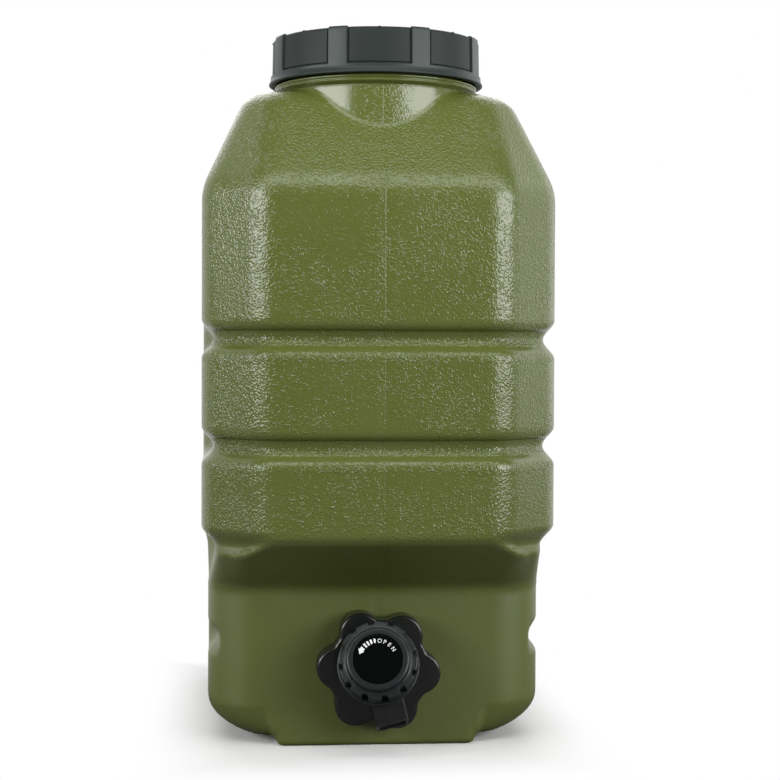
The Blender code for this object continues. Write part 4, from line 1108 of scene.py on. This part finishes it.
def lid_cap(material):
    """Ribbed screw lid: panels set back between the ribs, with a fine line round each."""
    pitch = 2 * pi / LID_RIBS
    spots = []
    for rib in range(LID_RIBS):
        for offset in lid_offsets()[:-1]:
            angle = LID_RIB_START + rib * pitch + offset
            spots.append((sin(angle), -cos(angle), min(offset, offset - pitch, key=abs)))
    around = [(x, y) for x, y, _ in spots]

    def wall(radius, height, drop=0.0, level=None):
        """A ring of the wall, the panels lower than the ribs by drop, shaped as at level or this height."""
        points = []
        for x, y, offset in spots:
            inset = lid_inset(offset, level or height)
            reach = radius - inset
            points.append((reach * x, reach * y, height - drop * min(inset / LID_RIB_PROUD, 1)))
        return points

    inner = NECK_RADIUS + NECK_RIDGE + LID_THREAD_CLEARANCE
    roof = LID_HEIGHT - LID_ROOF
    profile = [(LID_MIDDLE, roof), (inner - LID_ROOF_CORNER, roof), (inner, roof - LID_ROOF_CORNER),
            (inner, LID_MOUTH_BEVEL), (inner + LID_MOUTH_BEVEL, 0), (LID_RADIUS - FINE_EDGE, 0),
            (LID_RADIUS, FINE_EDGE)]
    profile += [(LID_BODY_RADIUS + out * LID_FLANGE, up * LID_FLANGE) for out, up in LID_FLANGE_SECTION]
    rings = circles(around, profile)
    rings += [wall(LID_BODY_RADIUS, share * LID_BAND) for share in LID_BAND_RINGS]
    rings += [wall(LID_BODY_RADIUS, LID_BAND + past) for past in LID_STEP_RINGS]
    low, high = LID_BAND + LID_WALL_START, LID_HEIGHT - LID_TOP_ROUND
    for i in range(LID_WALL_STEPS + 1):
        share = i / LID_WALL_STEPS
        height = low + (high - low) * share
        rings.append(wall(LID_BODY_RADIUS - LID_LEAN * share, height, LID_RIB_TOP * share))
    for inset, drop in round_over(LID_TOP_ROUND, ARC_STEPS)[1:]:
        rings.append(wall(LID_BODY_RADIUS - LID_LEAN - inset, LID_HEIGHT - drop, LID_RIB_TOP, LID_HEIGHT))
    shoulder = LID_HEIGHT - LID_RIB_TOP
    dish = shoulder - LID_PANEL_DROP
    rings += circles(around, ((LID_BODY_RADIUS - LID_RIB_PROUD - 3 * LID_TOP_ROUND, shoulder),
        (LID_PANEL_RADIUS + 2 * FINE_EDGE, shoulder), (LID_PANEL_RADIUS, shoulder - FINE_EDGE),
        (LID_PANEL_RADIUS - LID_PANEL_BEVEL, dish), (LID_PANEL_RADIUS - 2 * LID_PANEL_BEVEL, dish),
        (LID_MIDDLE, dish)))
    place = upright_frame(NECK_DEPTH, LID_BOTTOM_Z)
    ridge_z = NECK_RIDGE_Z - LID_BOTTOM_Z - LID_PITCH / 2
    return joined(lofted("lid_cap", rings, place, material, sharp=LID_SHARP_ANGLE),
            thread_ridge(inner, -NECK_RIDGE, LID_PITCH, ridge_z, LID_RIDGE_TURNS, place))


# Star nut

def nut_reach(angle, inset):
    """The star nut's radius at an angle: round lobes that run softly into a circle between them."""
    pitch = 2 * pi / NUT_LOBES
    off = (angle - NUT_LOBE_START + pitch / 2) % pitch - pitch / 2
    radius, lobe_round, valley = NUT_LOBE_RADIUS - inset, NUT_LOBE_ROUND - inset, NUT_VALLEY_RADIUS - inset
    centre = radius - lobe_round
    lobe = centre * cos(off) + sqrt(max(lobe_round ** 2 - (centre * sin(off)) ** 2, 0))
    both = (lobe / radius) ** NUT_LOBE_BLEND + (valley / radius) ** NUT_LOBE_BLEND
    return radius * both ** (1 / NUT_LOBE_BLEND)


def star_nut(material):
    turns = [2 * pi * i / NUT_STEPS for i in range(NUT_STEPS)]
    around = [(cos(turn), sin(turn)) for turn in turns]

    def star(inset, z):
        reaches = [nut_reach(turn, inset) for turn in turns]
        return [(reach * x, reach * y, z) for reach, (x, y) in zip(reaches, around)]

    place = outlet_frame()
    front = NUT_BACK_Z + NUT_LENGTH
    bevel = NUT_BEVEL / 2
    rings = [star(bevel, NUT_BACK_Z), star(ROUND_SHARE * bevel, NUT_BACK_Z + ROUND_SHARE * bevel),
            star(0, NUT_BACK_Z + bevel)]
    rings += [star(inset, front - drop) for inset, drop in round_over(NUT_BEVEL, ARC_STEPS)]
    rings += circles(around, ((NUT_FACE_RADIUS, front), (NUT_HOLE_RADIUS + NUT_HOLE_BEVEL, front),
            (NUT_HOLE_RADIUS, front - NUT_HOLE_BEVEL), (NUT_HOLE_RADIUS, WEB_Z),
            (NUT_BORE, WEB_Z), (NUT_BORE, NUT_BACK_Z)))
    ridge_z = OUTLET_RIDGE_Z + NUT_PITCH / 2
    return joined(lofted("star_nut", rings, place, material, closed=True, sharp=CRISP_ANGLE),
            thread_ridge(NUT_BORE, -OUTLET_RIDGE, NUT_PITCH, ridge_z, NUT_RIDGE_TURNS, place))


# Tap body

def spout_prism(inset, corner, drop):
    """The spout, or its bore if inset by the wall, cut off at a slant at its mouth."""
    half = SPOUT_WIDTH / 2 - inset
    back, front = SPOUT_START + inset, SPOUT_START + SPOUT_THICKNESS - inset
    outline = both_sides(rounded([(0, back), (half, back), (half, front), (0, front)], corner, ARC_STEPS))
    upper = [(x, -SPOUT_ROOT, z) for x, z in outline]
    mouth = [(x, -drop + (z - SPOUT_START) * tan(SPOUT_CUT), z) for x, z in outline]
    return lofted("spout", [upper, mouth], tap_frame())


def valve_body(material):
    place, barrel = tap_frame(), barrel_frame()
    flange_top = FLANGE_Z + FLANGE_THICKNESS
    corners = [(0, ELBOW_LENGTH), (BARREL_RADIUS, ELBOW_LENGTH), (BARREL_RADIUS, flange_top),
            (FLANGE_RADIUS, flange_top), (FLANGE_RADIUS, FLANGE_Z), (0, FLANGE_Z)]
    body = turned("valve_body", rounded(corners, SOFT_EDGE), place, material)
    additions = (cylinder(BARREL_RADIUS, BARREL_START, BARREL_LENGTH, barrel),
            spout_prism(0, SPOUT_CORNER, SPOUT_DROP),
            thread_ridge(BARREL_RADIUS, KNOB_RIDGE, KNOB_PITCH, BARREL_RIDGE_Z, KNOB_RIDGE_TURNS, barrel))
    cuts = (cylinder(INLET_BORE, -OVERCUT, INLET_DEPTH, place),
            cylinder(SEAT_BORE, SEAT_BORE_START, SEAT_AT + OVERCUT, barrel),
            cylinder(CHAMBER_RADIUS, SEAT_AT, BARREL_LENGTH + OVERCUT, barrel),
            spout_prism(SPOUT_WALL, SPOUT_CORNER / 2, SPOUT_DROP + 2 * OVERCUT))
    combined(body, ("UNION", additions), ("DIFFERENCE", cuts))
    modify(body, "BEVEL", width=SPOUT_RIM, segments=2, limit_method="ANGLE", angle_limit=SPOUT_RIM_ANGLE)
    body.data.set_sharp_from_angle(angle=SHARP_ANGLE)
    return body


# Knob, disc and its print

def notched(radius, depth, z):
    """A ring with square notches all round, their corners slightly eased."""
    pitch = 2 * pi / KNOB_NOTCHES
    land = pitch - 2 * NOTCH_SIDE[0][0] * KNOB_NOTCH_WIDTH
    section = [(-share, dip) for share, dip in NOTCH_SIDE] + [(0, 1), *reversed(NOTCH_SIDE)]
    points = []
    for notch in range(KNOB_NOTCHES):
        middle = notch * pitch - KNOB_TURN
        spots = [(middle + share * KNOB_NOTCH_WIDTH, radius - depth * dip) for share, dip in section]
        spots += [(spots[-1][0] + land * i / NOTCH_LAND_STEPS, radius) for i in range(1, NOTCH_LAND_STEPS)]
        points += [(reach * sin(angle), reach * cos(angle), z) for angle, reach in spots]
    return points


def knob_crown(material):
    place = barrel_frame()
    around = [(x, y) for x, y, _ in notched(1, 0, 0)]
    edge, half, slight = KNOB_EDGE, KNOB_EDGE / 2, ROUND_SHARE * KNOB_EDGE / 2
    band_top = KNOB_BACK + KNOB_BAND
    rings = circles(around, ((KNOB_BORE, KNOB_BACK), (KNOB_RADIUS - half, KNOB_BACK),
            (KNOB_RADIUS - slight, KNOB_BACK + slight), (KNOB_RADIUS, KNOB_BACK + half),
            (KNOB_RADIUS, band_top - half), (KNOB_RADIUS - slight, band_top - slight),
            (KNOB_RADIUS - half, band_top)))
    crown, notch = KNOB_RADIUS - CROWN_STEP, KNOB_NOTCH_DEPTH
    rings.append(notched(crown, notch, band_top + CROWN_RISE))
    rings += [notched(crown - inset, notch - inset, KNOB_FACE - drop)
            for inset, drop in round_over(edge, KNOB_ARC_STEPS)]
    well, socket = RING_TOP - DISC_WELL, KNOB_FACE - KNOB_WEB
    disc_hole, screw_hole, stem_hole = DISC_RADIUS + GAP, SCREW_RADIUS + GAP, STEM_NECK_RADIUS + GAP
    rings += circles(around, [(RING_RADIUS + out, KNOB_FACE + up * edge) for out, up in RING_FOOT])
    rings += circles(around, [(RING_RADIUS - far * edge, RING_TOP - down * edge) for far, down in RING_BROW])
    rings += circles(around, ((disc_hole + FINE_EDGE, RING_TOP), (disc_hole, RING_TOP - FINE_EDGE),
        (disc_hole, well), (SCREW_WELL_RADIUS, well), (SCREW_WELL_RADIUS, KNOB_FACE),
        (screw_hole, KNOB_FACE), (screw_hole, socket), (stem_hole, socket), (stem_hole, KNOB_INNER_FACE),
        (KNOB_BORE, KNOB_INNER_FACE)))
    ridge_z = BARREL_RIDGE_Z + KNOB_PITCH / 2
    return joined(lofted("knob_crown", rings, place, material, closed=True, sharp=CRISP_ANGLE),
            thread_ridge(KNOB_BORE, -KNOB_RIDGE, KNOB_PITCH, ridge_z, KNOB_RIDGE_TURNS, place))


def gloss_disc(material):
    low = DISC_TOP - DISC_THICKNESS
    corners = [(0, DISC_TOP), (DISC_RADIUS, DISC_TOP), (DISC_RADIUS, low), (0, low)]
    return turned("gloss_disc", rounded(corners, DISC_EDGE, 3), barrel_frame(), material)


def on_disc(turn):
    """A place on the disc at an angle clockwise from the top, with local Y pointing outwards."""
    return (barrel_frame() @ Matrix.Rotation(-(turn + PRINT_TURN) * DEGREE, 4, "Z")
            @ Matrix.Translation((0, PRINT_RADIUS, DISC_TOP)))


def letter(character, turn):
    curve = adjusted(bpy.data.curves.new("letter", "FONT"), body=character, align_x="CENTER",
        size=FONT_PER_LETTER * LETTER_HEIGHT, offset=LETTER_WEIGHT * LETTER_HEIGHT, extrude=PRINT_LIFT)
    made = linked("letter_" + character, curve)
    shape = linked("letter_" + character, bpy.data.meshes.new_from_object(made))
    bpy.data.objects.remove(made, do_unlink=True)
    shape.matrix_world = on_disc(turn) @ Matrix.Translation((0, -LETTER_HEIGHT / 2, 0))
    return shape


def disc_print(material):
    """OPEN, the bars and the arrow that show which way the knob opens."""
    parts = []
    for turn, size in BARS:
        wide, long = BAR_WIDE * size / 2, BAR_LONG * size / 2
        outline = ((-wide, -long), (wide, -long), (BAR_SPREAD * wide, long), (-BAR_SPREAD * wide, long))
        parts.append(prism(f"bar_{-turn}", outline, 0, PRINT_LIFT, on_disc(turn)))
    made = prism("disc_print", ARROW, 0, PRINT_LIFT, on_disc(ARROW_TURN))
    made.data.materials.append(material)
    parts += [letter(character, turn) for character, turn in LETTERS]
    joined(made, *parts)
    for face in made.data.polygons:
        face.material_index = 0
    return made


# Studio

def studio():
    scene = bpy.context.scene
    lens = adjusted(bpy.data.cameras.new("camera"), lens=CAMERA_LENS, sensor_width=SENSOR_WIDTH)
    camera = linked("camera", lens)
    camera.location = CAMERA_PLACE
    camera.rotation_euler = [turn * DEGREE for turn in CAMERA_TURN]
    scene.camera = camera
    scene.view_settings.view_transform = "Standard"
    scene.world = room()

    bm = bmesh.new()
    bmesh.ops.create_grid(bm, x_segments=FLOOR_SQUARES, y_segments=FLOOR_SQUARES, size=FLOOR_HALF_SIZE)
    floor = object_from("floor", bm, material=floor_material())
    for name, place, aim, size, power in SOFTBOXES:
        softbox(name, place, aim, size, power)


def seen_white(tree, behind):
    """1 for camera rays, and as much as behind says for mirrored and refracted ones."""
    path = add(tree, "ShaderNodeLightPath").outputs
    mirrored = maths(tree, "MAXIMUM", path["Is Glossy Ray"], path["Is Transmission Ray"])
    return maths(tree, "MAXIMUM", path["Is Camera Ray"], times(tree, behind, mirrored))


def room():
    """A dim room, white to the camera all round and, for mirrored rays, behind the tank."""
    world = bpy.data.worlds.new("studio")
    world.use_nodes = True
    tree = world.node_tree
    toward = add(tree, "ShaderNodeTexCoord").outputs["Generated"]
    white = seen_white(tree, span(tree, parts_of(tree, toward)["Y"], *ROOM_BEHIND))
    colour = colour_mix(tree, white, shade(WHITE[:3], ROOM_LIGHT), WHITE)
    tree.links.new(colour, tree.nodes["Background"].inputs["Color"])
    return world


def floor_material():
    """White to the camera, with the shadow of the tank on it, and darker as a source of bounced light."""
    material, tree, inputs = new_material("floor")
    inputs["Roughness"].default_value = FLOOR_ROUGHNESS
    inputs["Specular IOR Level"].default_value = FLOOR_GLOSS
    place = parts_of(tree, place_in(tree))
    seen = seen_white(tree, span(tree, place["Y"], *FLOOR_BEHIND))
    tree.links.new(colour_mix(tree, seen, shade(WHITE[:3], FLOOR_BOUNCE), WHITE), inputs["Base Color"])
    beyond = [maths(tree, "SUBTRACT", maths(tree, "ABSOLUTE", place[axis]), size / 2)
            for axis, size in (("X", WIDTH), ("Y", DEPTH))]
    away = span(tree, maths(tree, "MAXIMUM", *beyond), *SHADOW_REACH)
    glow = add(tree, "ShaderNodeEmission", None, {"Color": WHITE, "Strength": 1.0})
    plain = tree.nodes["Principled BSDF"].outputs[0]
    mixed = add(tree, "ShaderNodeMixShader", None, {0: times(tree, seen, away), 1: plain, 2: glow.outputs[0]})
    tree.links.new(mixed.outputs[0], tree.nodes["Material Output"].inputs["Surface"])
    return material


def softbox(name, place, aim, size, power):
    data = adjusted(bpy.data.lights.new(name, "AREA"), shape="RECTANGLE", size=size[0], size_y=size[1],
        energy=power)
    lamp = linked(name, data)
    lamp.location = place
    lamp.rotation_euler = (Vector(aim) - Vector(place)).to_track_quat("-Z", "Y").to_euler()


def dress(node, material):
    """A CAD node that shows as it is, with a finished material."""
    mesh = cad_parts[node].data
    mesh.materials.clear()
    mesh.materials.append(material)


def settled(piece):
    """The piece with its place written into its mesh, so that its box is a tight one."""
    piece.data.transform(piece.matrix_basis)
    piece.matrix_basis = WORLD
    return piece


def place_piece(piece, body, slot, *nodes):
    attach(piece, body)
    if nodes:
        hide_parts(*nodes)


def main():
    olive = olive_plastic()
    charcoal = lid_plastic()
    black, grey, gloss, ink, white, rubber, steel = [plastic(name) for name in list(SURFACES)[1:]]

    shell = tank_shell(olive)
    place_piece(shell, "tank", "olive_plastic", "tank_body")
    for name, toward in (("seam_front", 1), ("seam_back", -1)):
        place_piece(seam_line(name, shell, toward, olive), "tank", "olive_plastic")
    place_piece(tank_neck(olive), "tank", "olive_plastic")
    place_piece(tank_outlet(olive), "tank", "olive_plastic")
    place_piece(lid_cap(charcoal), "lid", "charcoal_plastic", "lid")
    place_piece(settled(star_nut(black)), "nut", "black_plastic", "tap_nut")
    place_piece(settled(valve_body(black)), "tap", "black_plastic", "tap_body")
    place_piece(settled(knob_crown(grey)), "knob", "grey_plastic", "tap_knob")
    place_piece(settled(gloss_disc(gloss)), "knob", "gloss_black_plastic", "knob_disc")
    place_piece(settled(disc_print(ink)), "knob", "white_plastic")
    for node in ("lid_gasket", "tap_gasket", "valve_seal", "stem_o_ring_rear", "stem_o_ring_front"):
        dress(node, rubber)
    dress("valve_stem", white)
    dress("knob_screw", steel)
    studio()


main()
